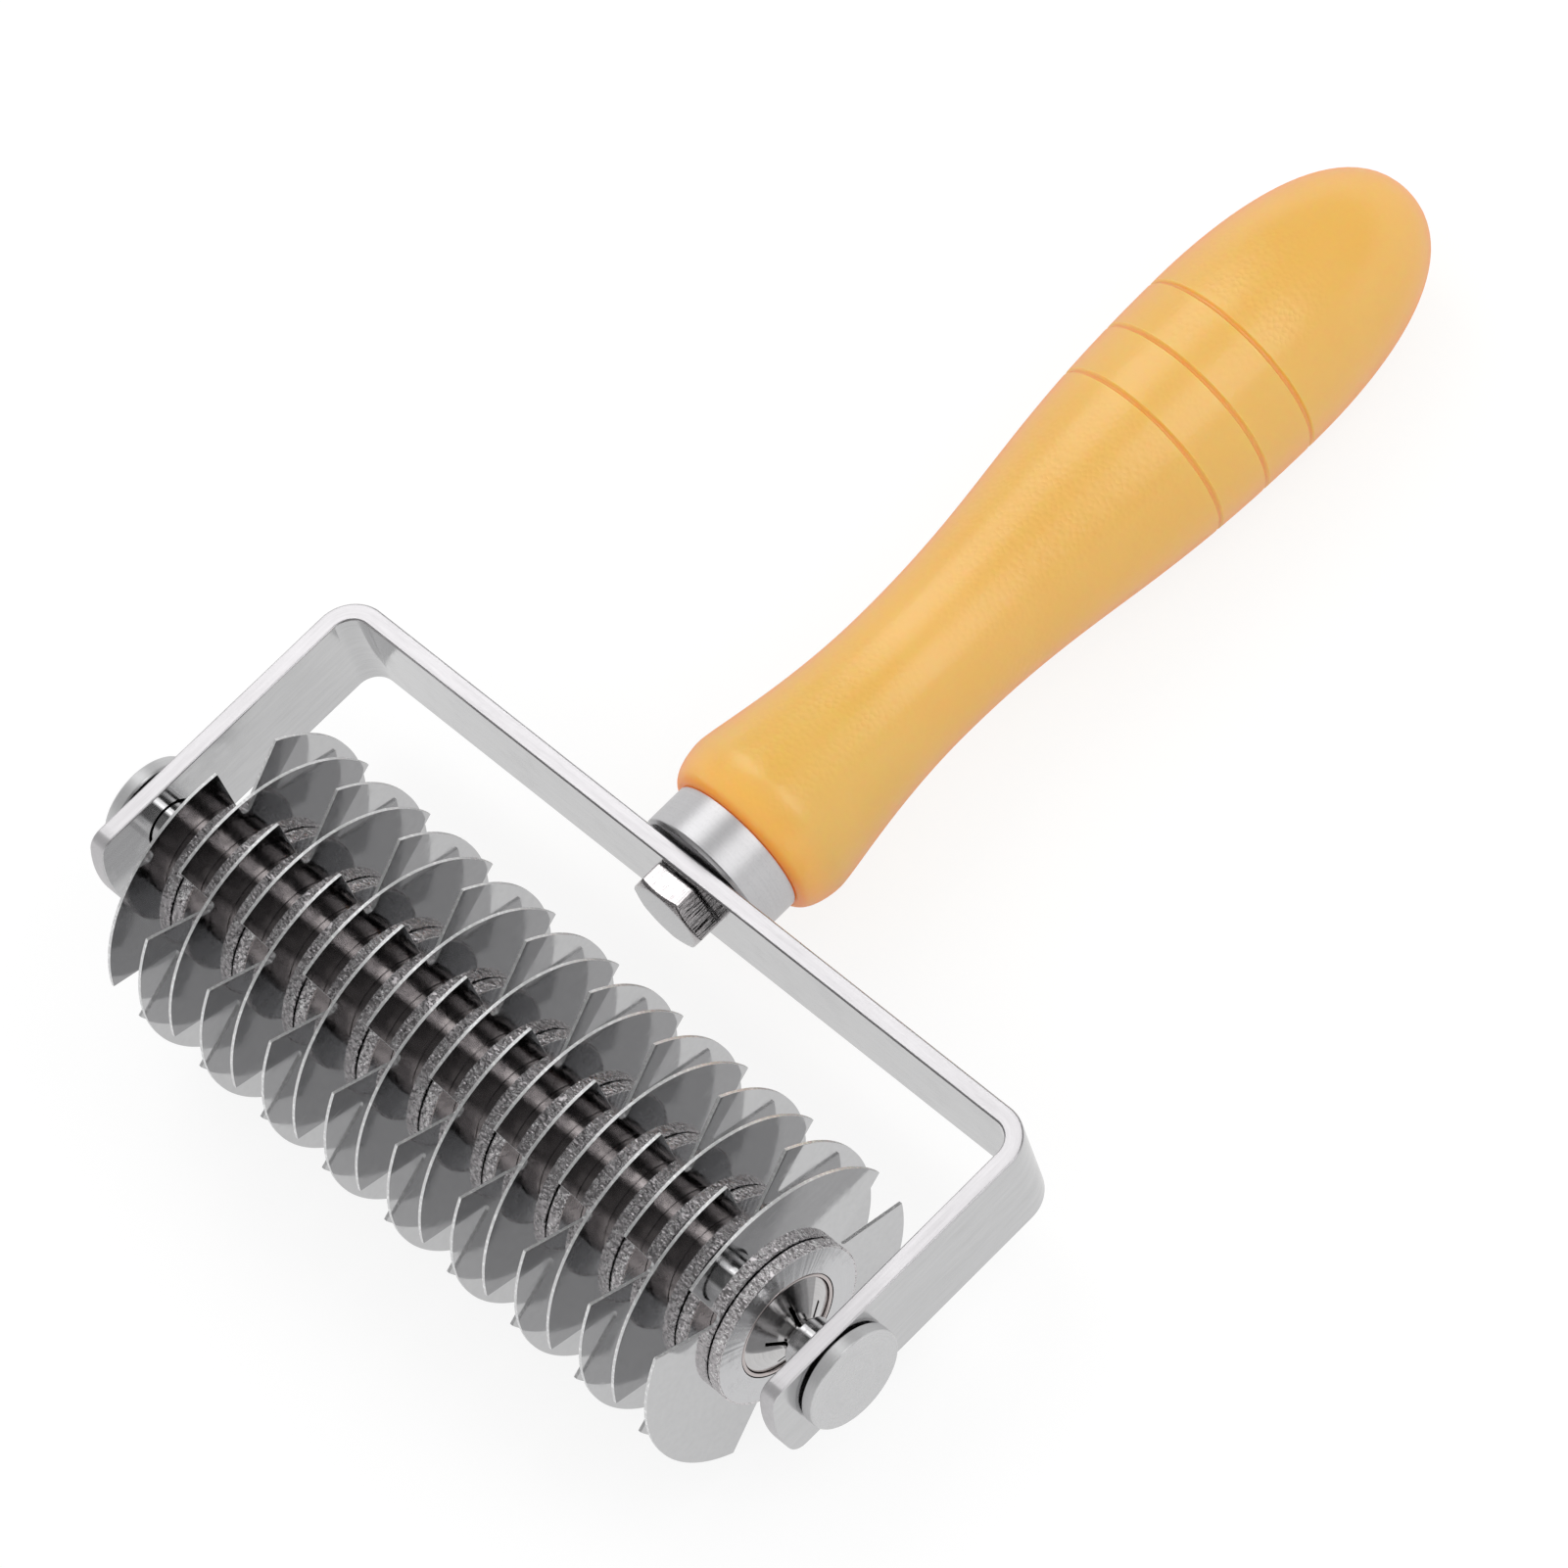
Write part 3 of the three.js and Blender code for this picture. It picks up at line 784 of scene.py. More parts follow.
@dataclass(frozen=True)
class DrawnSteel(Finish):
    """Bright drawn tube, rod and pressed plate, with a warm cast in its darker parts."""

    deep: Colour = (0.42, 0.395, 0.39, 1.0)
    bright: Colour = (0.64, 0.61, 0.6, 1.0)
    gloss: Pair = (0.1, 0.26)
    lines_per_mm: float = 5.0
    line_mm: float = 0.01
    marks_per_mm: float = 0.6
    smudge_share: float = 0.7

    def paint(self, skin: Skin) -> dict[str, object]:
        """Take turned lines and handling marks.

        Args:
            skin: The material's nodes.

        Returns:
            The shader's inputs.
        """
        lines = skin.effect(Effect.TURNED_LINES, skin.place, self.lines_per_mm)["Lines"]
        return {
            "Metallic": 1.0,
            "Base Color": skin.tint(lines, self.deep, self.bright),
            "Roughness": skin.span(skin.worn(self.marks_per_mm, self.smudge_share), self.gloss),
            "Normal": skin.bump(lines, self.line_mm),
        }


@dataclass(frozen=True)
class StripSteel(Finish):
    """Bright rolled strip, with lines that follow its bends and coarser ones on its ground edges."""

    deep: Colour = (0.52, 0.52, 0.525, 1.0)
    bright: Colour = (0.69, 0.69, 0.695, 1.0)
    gloss: Pair = (0.12, 0.22)
    edge_range: Pair = (7.08, 7.35)
    edge_deep: Colour = (0.44, 0.43, 0.44, 1.0)
    edge_bright: Colour = (0.7, 0.685, 0.7, 1.0)
    edge_rough: float = 0.36
    tip_range: Pair = (-7.0, -8.5)
    tip_metal: float = 0.55
    lines_per_mm: float = 6.0
    line_share: float = 0.5
    line_mm: float = 0.02
    relief: Pair = (0.12, 1.0)
    marks_per_mm: float = 0.2

    def paint(self, skin: Skin) -> dict[str, object]:
        """Take lines along the strip from its own run attribute.

        Args:
            skin: The material's nodes.

        Returns:
            The shader's inputs.
        """
        run = skin.add("ShaderNodeAttribute", attribute_name=STRIP_ATTRIBUTE).outputs["Vector"]
        lines = skin.effect(Effect.ROLLED_LINES, run, self.lines_per_mm)
        streaks = skin.math("MULTIPLY", lines["Streaks"], 1.0 - self.line_share)
        tone = skin.math("MULTIPLY_ADD", lines["Lines"], self.line_share, streaks)
        side_edge = skin.between(skin.math("ABSOLUTE", skin.split(run)[2]), self.edge_range)
        ahead = skin.between(skin.split(skin.place)[1], self.tip_range)
        tip_edge = skin.math("MULTIPLY", ahead, skin.rim(Axis.ALONG_AXLE))
        edge = skin.math("MAXIMUM", side_edge, tip_edge)
        flank = skin.tint(tone, self.deep, self.bright)
        ground = skin.tint(tone, self.edge_deep, self.edge_bright)
        side_gloss = skin.span(skin.worn(self.marks_per_mm), self.gloss)
        return {
            "Metallic": skin.span(tip_edge, (1.0, self.tip_metal)),
            "Base Color": skin.tint(edge, flank, ground),
            "Roughness": skin.blend(edge, side_gloss, self.edge_rough),
            "Normal": skin.bump(skin.math("MULTIPLY", tone, skin.span(edge, self.relief)), self.line_mm),
        }


@dataclass(frozen=True)
class SatinSteel(Finish):
    """Turned satin steel with fine specks and a polished rim. The axis says which way it was turned."""

    axis: Axis = Axis.ALONG_AXLE
    deep: Colour = (0.6, 0.6, 0.605, 1.0)
    bright: Colour = (0.69, 0.69, 0.695, 1.0)
    gloss: Pair = (0.26, 0.36)
    rim_gloss: float = 0.26
    rim_metal: float = 1.0
    lines_per_mm: float = 6.0
    line_mm: float = 0.003
    grains_per_mm: float = 3.0
    specks: float = 0.3
    marks_per_mm: float = 0.4

    def paint(self, skin: Skin) -> dict[str, object]:
        """Take turned lines about the finish's axis, with specks and smudges.

        Args:
            skin: The material's nodes.

        Returns:
            The shader's inputs.
        """
        place = skin.along_handle() if self.axis is Axis.ALONG_HANDLE else skin.place
        lines = skin.effect(Effect.TURNED_LINES, place, self.lines_per_mm)["Lines"]
        speck = skin.effect(Effect.GRAIN, place, self.grains_per_mm)["Speck"]
        smudge = skin.effect(Effect.HANDLING_MARKS, place, self.marks_per_mm)["Smudge"]
        tone = skin.math("MULTIPLY_ADD", speck, -self.specks, lines)
        rim = skin.rim(self.axis)
        return {
            "Metallic": skin.span(rim, (1.0, self.rim_metal)),
            "Base Color": skin.tint(tone, self.deep, self.bright),
            "Roughness": skin.blend(rim, skin.span(smudge, self.gloss), self.rim_gloss),
            "Normal": skin.bump(lines, self.line_mm),
        }


@dataclass(frozen=True)
class BoltChrome(Finish):
    """Bright plated bolt with broaching lines on its flats and a grainy front face."""

    front: float = 31.8
    front_blend: float = 0.12
    deep: Colour = (0.46, 0.43, 0.435, 1.0)
    bright: Colour = (0.6, 0.58, 0.585, 1.0)
    front_deep: Colour = (0.58, 0.58, 0.585, 1.0)
    front_bright: Colour = (0.7, 0.7, 0.705, 1.0)
    gloss: Pair = (0.1, 0.3)
    lines_per_mm: float = 4.2
    line_range: Pair = (0.4, 0.6)
    line_mm: float = 0.016
    grains_per_mm: float = 5.0
    grain_share: float = 0.2

    def paint(self, skin: Skin) -> dict[str, object]:
        """Take lines along the bolt on its flats and grain on its front face.

        Args:
            skin: The material's nodes.

        Returns:
            The shader's inputs.
        """
        along_x, along_y, along_z = skin.split(skin.place)
        lines = skin.effect(Effect.ROLLED_LINES, skin.join(along_y, along_x, along_z), self.lines_per_mm)
        grain = skin.effect(Effect.GRAIN, skin.place, self.grains_per_mm)
        face = skin.between(along_y, (self.front + self.front_blend, self.front))
        ribs = skin.between(lines["Lines"], self.line_range)
        flats = skin.tint(ribs, self.deep, self.bright)
        front = skin.tint(grain["Speck"], self.front_deep, self.front_bright)
        relief = skin.blend(face, ribs, skin.math("MULTIPLY", grain["Height"], self.grain_share))
        return {
            "Metallic": 1.0,
            "Base Color": skin.tint(face, flats, front),
            "Roughness": skin.span(face, self.gloss),
            "Normal": skin.bump(relief, self.line_mm),
        }


@dataclass(frozen=True)
class InsertBrass(Finish):
    """Turned brass of the hidden bush."""

    deep: Colour = (0.55, 0.38, 0.14, 1.0)
    bright: Colour = (0.78, 0.58, 0.27, 1.0)
    gloss: Pair = (0.2, 0.4)
    lines_per_mm: float = 4.0

    def paint(self, skin: Skin) -> dict[str, object]:
        """Take turned lines about the handle's axis.

        Args:
            skin: The material's nodes.

        Returns:
            The shader's inputs.
        """
        lines = skin.effect(Effect.TURNED_LINES, skin.along_handle(), self.lines_per_mm)["Lines"]
        colour = skin.tint(lines, self.deep, self.bright)
        return {"Metallic": 1.0, "Base Color": colour, "Roughness": skin.span(lines, self.gloss)}


@dataclass(frozen=True)
class GripPlastic(Finish):
    """Satin-gloss moulded plastic with a warm glow at its rims, painted shade in its grooves, and a painted
    orange glow at the collar, in its colour and as emission.
    """

    body: Colour = (0.84, 0.525, 0.118, 1.0)
    pale: Colour = (0.85, 0.54, 0.13, 1.0)
    # Deeper orange, painted as shade in the grooves and as a glow line at the collar joint
    deep: Colour = (0.86, 0.4, 0.06, 1.0)
    clouds_per_mm: float = 0.08
    cloud_range: Pair = (0.3, 0.7)
    face: float = 45.5
    joint_painted_glow_width: float = 1.1
    grooves: tuple[float, ...] = ()
    groove_width: float = 0.9
    # Share of the deep colour painted into each groove as shade
    groove_painted_shade: float = 0.28
    line_core: float = 0.1
    # Painted glow: an orange emission near the collar, though the grip is no lamp
    painted_collar_glow: Colour = (0.2, 0.04, 0.006, 1.0)
    painted_glow_reach: float = 6.5
    gloss: Pair = (0.28, 0.31)
    marks_per_mm: float = 0.15
    ior: float = 1.46
    specular: float = 0.75
    glow: float = 0.9
    glow_mm: float = 10.0
    glow_reach: Triple = (1.0, 0.3, 0.08)
    coat: float = 0.05
    coat_rough: float = 0.2
    sheen: float = 0.9
    sheen_rough: float = 0.45
    sheen_tint: Colour = (1.0, 0.27, 0.1, 1.0)
    peel_per_mm: float = 0.5
    peel_mm: float = 0.03
    grains_per_mm: float = 1.3
    grain_share: float = 0.5

    def paint(self, skin: Skin) -> dict[str, object]:
        """Take cloudy colour, orange peel, painted shade in the grooves and a painted glow line at the
        collar joint.

        Args:
            skin: The material's nodes.

        Returns:
            The shader's inputs.
        """
        along = skin.split(skin.place)[1]
        # Painted glow: a line of deeper orange at the collar joint
        line = skin.between(skin.off(along, self.face), (self.joint_painted_glow_width, self.line_core))
        groove_range = (self.groove_width / 2, self.line_core)
        # Painted shade: each groove is tinted towards the deep colour
        for place in self.grooves:
            groove = skin.between(skin.off(along, place), groove_range, 0.0, self.groove_painted_shade)
            line = skin.math("MAXIMUM", line, groove)
        cloud = skin.noise(skin.place, self.clouds_per_mm, Cloud.DEEP)
        body = skin.tint(skin.between(cloud, self.cloud_range), self.body, self.pale)
        # Painted glow: a share that fades from the collar face over the glow's reach
        lit = skin.between(along, (self.face + self.painted_glow_reach, self.face))
        smudge = skin.effect(Effect.HANDLING_MARKS, skin.place, self.marks_per_mm)["Smudge"]
        grain = skin.effect(Effect.GRAIN, skin.place, self.grains_per_mm)["Height"]
        uneven = skin.noise(skin.place, self.peel_per_mm, Cloud.EVEN)
        peel = skin.math("MULTIPLY_ADD", grain, self.grain_share, uneven)
        return {
            # Deep colour painted as a glow line at the collar joint and as shade in the grooves
            "Base Color": skin.tint(line, body, self.deep),
            # Painted glow at the collar, given as emission
            "Emission Color": skin.tint(lit, BLACK, self.painted_collar_glow),
            "Emission Strength": 1.0,
            "Roughness": skin.span(smudge, self.gloss),
            "IOR": self.ior,
            "Specular IOR Level": self.specular,
            "Subsurface Weight": self.glow,
            "Subsurface Radius": self.glow_reach,
            "Subsurface Scale": self.glow_mm * MM,
            "Coat Weight": self.coat,
            "Coat Roughness": self.coat_rough,
            "Sheen Weight": self.sheen,
            "Sheen Roughness": self.sheen_rough,
            "Sheen Tint": self.sheen_tint,
            "Normal": skin.bump(peel, self.peel_mm),
        }


@dataclass
class SubAssembly:
    """A group of pieces on one body that is made and dressed together."""

    space: ToolSpace
    body: Body = Body.ROLLER

    def make(self) -> None:
        """Model and dress the pieces. Each sub-assembly has its own way."""
        raise NotImplementedError

    def dress(self, work: Piece, finish: Finish, slot: Slot, node: str) -> None:
        """Put a modelled piece in its place, give it its finish and body, and hide the CAD node that it
        stands for.

        Args:
            work: The piece, in the tool's axes.
            finish: Its surface.
            slot: The record's material slot; not used.
            node: The CAD node that it stands for.
        """
        Bench.settle(work, self.space.matrix())
        work.data.materials.clear()
        work.data.materials.append(finish.material(self.space))
        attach(work, self.body.value)
        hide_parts(node)
        faces = len(work.data.polygons)
        LOG.info("made %s for %s on %s: %d faces", work.name, node, self.body.value, faces)


@dataclass
class Yoke(SubAssembly):
    """The U-shaped frame, bent from one strip."""

    body: Body = Body.FRAME
    arm_inner: float = 62.4
    strip_width: float = 14.8
    strip_thickness: float = 2.6
    tip: float = -11.6
    crown: float = 1.4
    corner: float = 2.5
    crossbar_inner: float = 35.8
    bend_radius: float = 3.1
    arm_hole: float = 4.0
    bolt_hole: float = 3.35
    edge_round: float = 0.28
    crown_steps: int = 20
    corner_steps: int = 10
    bend_steps: int = 18
    hole_sides: int = 64

    def make(self) -> None:
        """Model and dress the strip."""
        work = self.strip()
        self.round_tips(work)
        Bench.soften(work, self.edge_round, BROAD_EDGE_STEPS)
        self.drill(work)
        Bench.smooth(work)
        self.mark_run(work)
        self.dress(work, StripSteel("bright_rolled_strip"), Slot.YOKE, "yoke")

    def bend_centre(self) -> Vector:
        """The centre of the right bend."""
        return Vector((self.arm_inner - self.bend_radius, self.crossbar_inner - self.bend_radius, 0.0))

    def strip(self) -> Piece:
        """Extrude and bend the strip's section from one arm's tip to the other's.

        Returns:
            The bent strip with square tips.
        """
        bend = self.bend_centre()
        arm = Vector((0.0, bend.y - self.tip, 0.0))
        start = Matrix.Translation((self.arm_inner + self.strip_thickness / 2, self.tip, 0.0))
        Bench.clear()
        bpy.ops.mesh.primitive_plane_add(size=1.0)
        work = Bench.newest("strip_frame")
        section = (self.strip_thickness, 1.0, self.strip_width)
        Bench.lay(work, start @ Matrix.Rotation(QUARTER_TURN, 4, "X"), section)
        Bench.extrude(arm)
        Bench.spin(self.bend_steps, QUARTER_TURN, Axis.UPRIGHT, bend)
        Bench.extrude((-2 * bend.x, 0.0, 0.0))
        Bench.spin(self.bend_steps, QUARTER_TURN, Axis.UPRIGHT, Vector((-bend.x, bend.y, 0.0)))
        Bench.extrude(-arm)
        Bench.close_mesh()
        return work

    def round_tips(self, work: Piece) -> None:
        """Keep what lies behind the crown of the arms' tips and inside their rounded corners.

        Args:
            work: The bent strip.
        """
        half = self.strip_width / 2
        left = -self.arm_inner - 2 * self.strip_thickness
        back = self.crossbar_inner + 2 * self.strip_thickness
        beyond = half + self.strip_thickness
        radius = (half * half + self.crown * self.crown) / (2 * self.crown)
        crown_y = self.tip + radius
        corner_z = half - self.corner
        corner_y = crown_y - math.sqrt((radius - self.corner) ** 2 - corner_z**2)
        touch = math.atan2(corner_z, corner_y - crown_y)
        pen = Pen("tip_keeper", Vector((left, back, beyond)))
        pen.line_to(Vector((left, corner_y, beyond)))
        pen.line_to(Vector((left, corner_y, half)))
        pen.arc(Vector((left, corner_y, corner_z)), touch - QUARTER_TURN, self.corner_steps)
        pen.arc(Vector((left, crown_y, 0.0)), FULL_TURN - 2 * touch, self.crown_steps)
        pen.arc(Vector((left, corner_y, -corner_z)), touch - QUARTER_TURN, self.corner_steps)
        pen.line_to(Vector((left, corner_y, -beyond)))
        pen.line_to(Vector((left, back, -beyond)))
        pen.close()
        bpy.ops.mesh.select_all(action="SELECT")
        bpy.ops.mesh.edge_face_add()
        Bench.extrude((-2 * left, 0.0, 0.0))
        Bench.close_mesh()
        Bench.combine(work, pen.work, Cut.COMMON)

    def drill(self, work: Piece) -> None:
        """Cut the bush holes through the arms and the bolt's hole through the crossbar.

        Args:
            work: The bent strip.
        """
        reach = self.arm_inner + 2 * self.strip_thickness
        across = Bench.bar("bush_drill", self.arm_hole, -reach, reach, Axis.ALONG_AXLE, self.hole_sides)
        Bench.combine(work, across, Cut.AWAY)
        start = self.crossbar_inner - self.strip_thickness
        end = self.crossbar_inner + 2 * self.strip_thickness
        bolt = Bench.bar("bolt_drill", self.bolt_hole, start, end, Axis.ALONG_HANDLE, self.hole_sides)
        Bench.combine(work, bolt, Cut.AWAY)

    def mark_run(self, work: Piece) -> None:
        """Store each point's run along the strip, depth into it and height across it.

        Args:
            work: The finished strip in the tool's axes.
        """
        bend = self.bend_centre()
        neutral = self.bend_radius + self.strip_thickness / 2
        marks = work.data.attributes.new(STRIP_ATTRIBUTE, "FLOAT_VECTOR", "POINT")
        for vertex, mark in zip(work.data.vertices, marks.data):
            out = abs(vertex.co.x) - bend.x
            past = vertex.co.y - bend.y
            if out <= 0.0:
                run, depth = abs(vertex.co.x), past
            elif past <= 0.0:
                run, depth = bend.x + neutral * QUARTER_TURN - past, out
            else:
                run, depth = bend.x + neutral * math.atan2(out, past), math.hypot(out, past)
            mark.vector = (math.copysign(run, vertex.co.x), depth, vertex.co.z)


@dataclass
class HandleBolt(SubAssembly):
    """The hex bolt that holds the handle."""

    body: Body = Body.FRAME
    flats: int = 6
    across_flats: float = 11.1
    front: float = 31.8
    back: float = 35.7
    chamfer: float = 0.8
    shank_radius: float = 3.15
    tip: float = 65.7
    edge_round: float = 0.3
    rounded_from: float = 20.0
    sharp_from: float = 30.0
    sides: int = 96

    def make(self) -> None:
        """Model and dress the bolt."""
        half_flat = HALF_TURN / self.flats
        corner = self.across_flats / 2 / math.cos(half_flat)
        middle = (self.front + self.back) / 2
        Bench.clear()
        height = self.back - self.front
        bpy.ops.mesh.primitive_cylinder_add(vertices=self.flats, radius=corner, depth=height)
        work = Bench.newest("hex_bolt")
        lay = Matrix.Rotation(half_flat, 4, "Y") @ Matrix.Rotation(QUARTER_TURN, 4, "X")
        Bench.settle(work, Matrix.Translation((0.0, middle, 0.0)) @ lay)
        outer = corner + self.chamfer
        envelope = [
            (0.0, self.front),
            (self.across_flats / 2 - self.chamfer / 2, self.front),
            (outer, self.front + self.chamfer),
            (outer, self.back + self.chamfer),
            (0.0, self.back + self.chamfer),
        ]
        chamfered = Bench.turned("bolt_envelope", envelope, Axis.ALONG_HANDLE, self.sides)
        Bench.combine(work, chamfered, Cut.COMMON)
        Bench.soften(work, self.edge_round, BROAD_EDGE_STEPS, self.rounded_from)
        profile = [
            (0.0, middle),
            (self.shank_radius, middle),
            (self.shank_radius, self.tip - self.chamfer),
            (self.shank_radius - self.chamfer, self.tip),
            (0.0, self.tip),
        ]
        Bench.combine(work, Bench.turned("bolt_shank", profile, Axis.ALONG_HANDLE, self.sides), Cut.JOIN)
        Bench.smooth(work, self.sharp_from)
        self.dress(work, BoltChrome("plated_bolt", self.front), Slot.BOLT, "handle_bolt")


@dataclass
class Handle(SubAssembly):
    """The steel collar and the plastic grip."""

    body: Body = Body.FRAME
    collar_radius: float = 10.4
    collar_front: float = 38.7
    collar_back: float = 45.4
    collar_inner: float = 9.2
    collar_floor: float = 40.0
    collar_bore: float = 3.35
    collar_chamfer: float = 0.5
    collar_deep: Colour = (0.54, 0.535, 0.545, 1.0)
    collar_bright: Colour = (0.64, 0.635, 0.645, 1.0)
    collar_gloss: float = 0.37
    edge_round: float = 0.14
    face: float = 45.5
    spigot_radius: float = 9.1
    spigot_front: float = 40.1
    seat_radius: float = 5.1
    seat_back: float = 64.2
    room_radius: float = 3.35
    room_back: float = 68.7
    bead: Pair = (13.2, 5.8)
    waist: Pair = (10.45, 32.5)
    belly: Pair = (15.0, 94.5)
    length: float = 127.2
    face_pull: float = 2.2
    bead_pulls: Pair = (1.5, 2.5)
    waist_pulls: Pair = (13.2, 24.8)
    belly_pulls: Pair = (31.0, 14.6)
    butt_pull: float = 12.1
    first_groove: float = 76.2
    groove_pitch: float = 8.4
    groove_count: int = 3
    groove_width: float = 0.9
    groove_depth: float = 0.4
    groove_section: tuple[Pair, ...] = ((0.45, 0.85), (0.8, 0.25), (1.0, 0.0))
    stretch_steps: int = 28
    halvings: int = 30
    sides: int = 160

    def make(self) -> None:
        """Model and dress the collar and the grip, and finish the bush inside."""
        colours = (self.collar_deep, self.collar_bright)
        satin = SatinSteel("turned_collar", Axis.ALONG_HANDLE, *colours, rim_gloss=self.collar_gloss)
        self.dress(self.collar(), satin, Slot.CAP, "handle_ferrule")
        grip = Bench.turned("grip", self.grip_profile(), Axis.ALONG_HANDLE, self.sides)
        Bench.smooth(grip)
        grooves = tuple(self.face + place for place in self.groove_places())
        lines = {"grooves": grooves, "groove_width": self.groove_width}
        self.dress(grip, GripPlastic("satin_plastic", face=self.face, **lines), Slot.GRIP, "handle_grip")
        brass = InsertBrass("turned_brass").material(self.space)
        frame["nodes"]["handle_insert"].material_slots[0].material = brass
        LOG.info("kept handle_insert with a finish of its own")

    def collar(self) -> Piece:
        """Turn the steel cup between crossbar and grip.

        Returns:
            The cup with softened edges.
        """
        profile = [
            (self.collar_bore, self.collar_front),
            (self.collar_radius - self.collar_chamfer, self.collar_front),
            (self.collar_radius, self.collar_front + self.collar_chamfer),
            (self.collar_radius, self.collar_back),
            (self.collar_inner, self.collar_back),
            (self.collar_inner, self.collar_floor),
            (self.collar_bore, self.collar_floor),
        ]
        work = Bench.turned("collar_cup", profile, Axis.ALONG_HANDLE, self.sides, ring=True)
        Bench.soften(work, self.edge_round)
        Bench.smooth(work)
        return work

    def groove_places(self) -> list[float]:
        """Places of the grooves behind the grip's face."""
        return [self.first_groove + self.groove_pitch * turn for turn in range(self.groove_count)]

    def stretches(self) -> list[Curve]:
        """The four curved stretches of the grip's outline.

        Returns:
            For each stretch its start, two pulling points and its end, as radius and place behind the face.
        """
        face = Vector((self.collar_radius, 0.0))
        bead, waist, belly = Vector(self.bead), Vector(self.waist), Vector(self.belly)
        butt = Vector((0.0, self.length))
        out, along = Vector((1.0, 0.0)), Vector((0.0, 1.0))
        return [
            (face, face + out * self.face_pull, bead - along * self.bead_pulls[0], bead),
            (bead, bead + along * self.bead_pulls[1], waist - along * self.waist_pulls[0], waist),
            (waist, waist + along * self.waist_pulls[1], belly - along * self.belly_pulls[0], belly),
            (belly, belly + along * self.belly_pulls[1], butt + out * self.butt_pull, butt),
        ]

    @staticmethod
    def along_curve(stretch: Curve, share: float) -> Vector:
        """Find a point of a curved stretch.

        Args:
            stretch: The curved stretch.
            share: The share of it before the point.

        Returns:
            The point.
        """
        rest = 1.0 - share
        first, second, third, fourth = stretch
        start = first * rest**3 + second * (3 * rest * rest * share)
        return start + third * (3 * rest * share * share) + fourth * share**3

    def share_at(self, stretch: Curve, place: float) -> float:
        """Find where a stretch reaches a place.

        Args:
            stretch: The curved stretch.
            place: The place behind the face.

        Returns:
            The share of the stretch.
        """
        low, high = 0.0, 1.0
        for _ in range(self.halvings):
            middle = (low + high) / 2
            if self.along_curve(stretch, middle).y < place:
                low = middle
            else:
                high = middle
        return low

    def grip_profile(self) -> list[Pair]:
        """Draw the grip's profile, from its bolt room round the spigot and along the outside to the butt.

        Returns:
            Points of radius and place along the handle.
        """
        profile = [
            (0.0, self.room_back),
            (self.room_radius, self.room_back),
            (self.room_radius, self.seat_back),
            (self.seat_radius, self.seat_back),
            (self.seat_radius, self.spigot_front),
            (self.spigot_radius, self.spigot_front),
            (self.spigot_radius, self.face),
            (self.collar_radius, self.face),
        ]
        half = self.groove_width / 2
        mirrored = tuple((-off, depth) for off, depth in self.groove_section)
        section = mirrored + ((0.0, 1.0),) + self.groove_section
        for stretch in self.stretches():
            points = [(step / self.stretch_steps, 0.0) for step in range(1, self.stretch_steps + 1)]
            for groove in self.groove_places():
                if not stretch[0].y < groove < stretch[3].y:
                    continue
                clear = half + 2 * NEAR_MM
                points = [p for p in points if abs(self.along_curve(stretch, p[0]).y - groove) > clear]
                for off, depth in section:
                    points.append((self.share_at(stretch, groove + off * half), depth * self.groove_depth))
            for share, depth in sorted(points):
                at = self.along_curve(stretch, share)
                profile.append((max(at.x - depth, 0.0), self.face + at.y))
        return profile


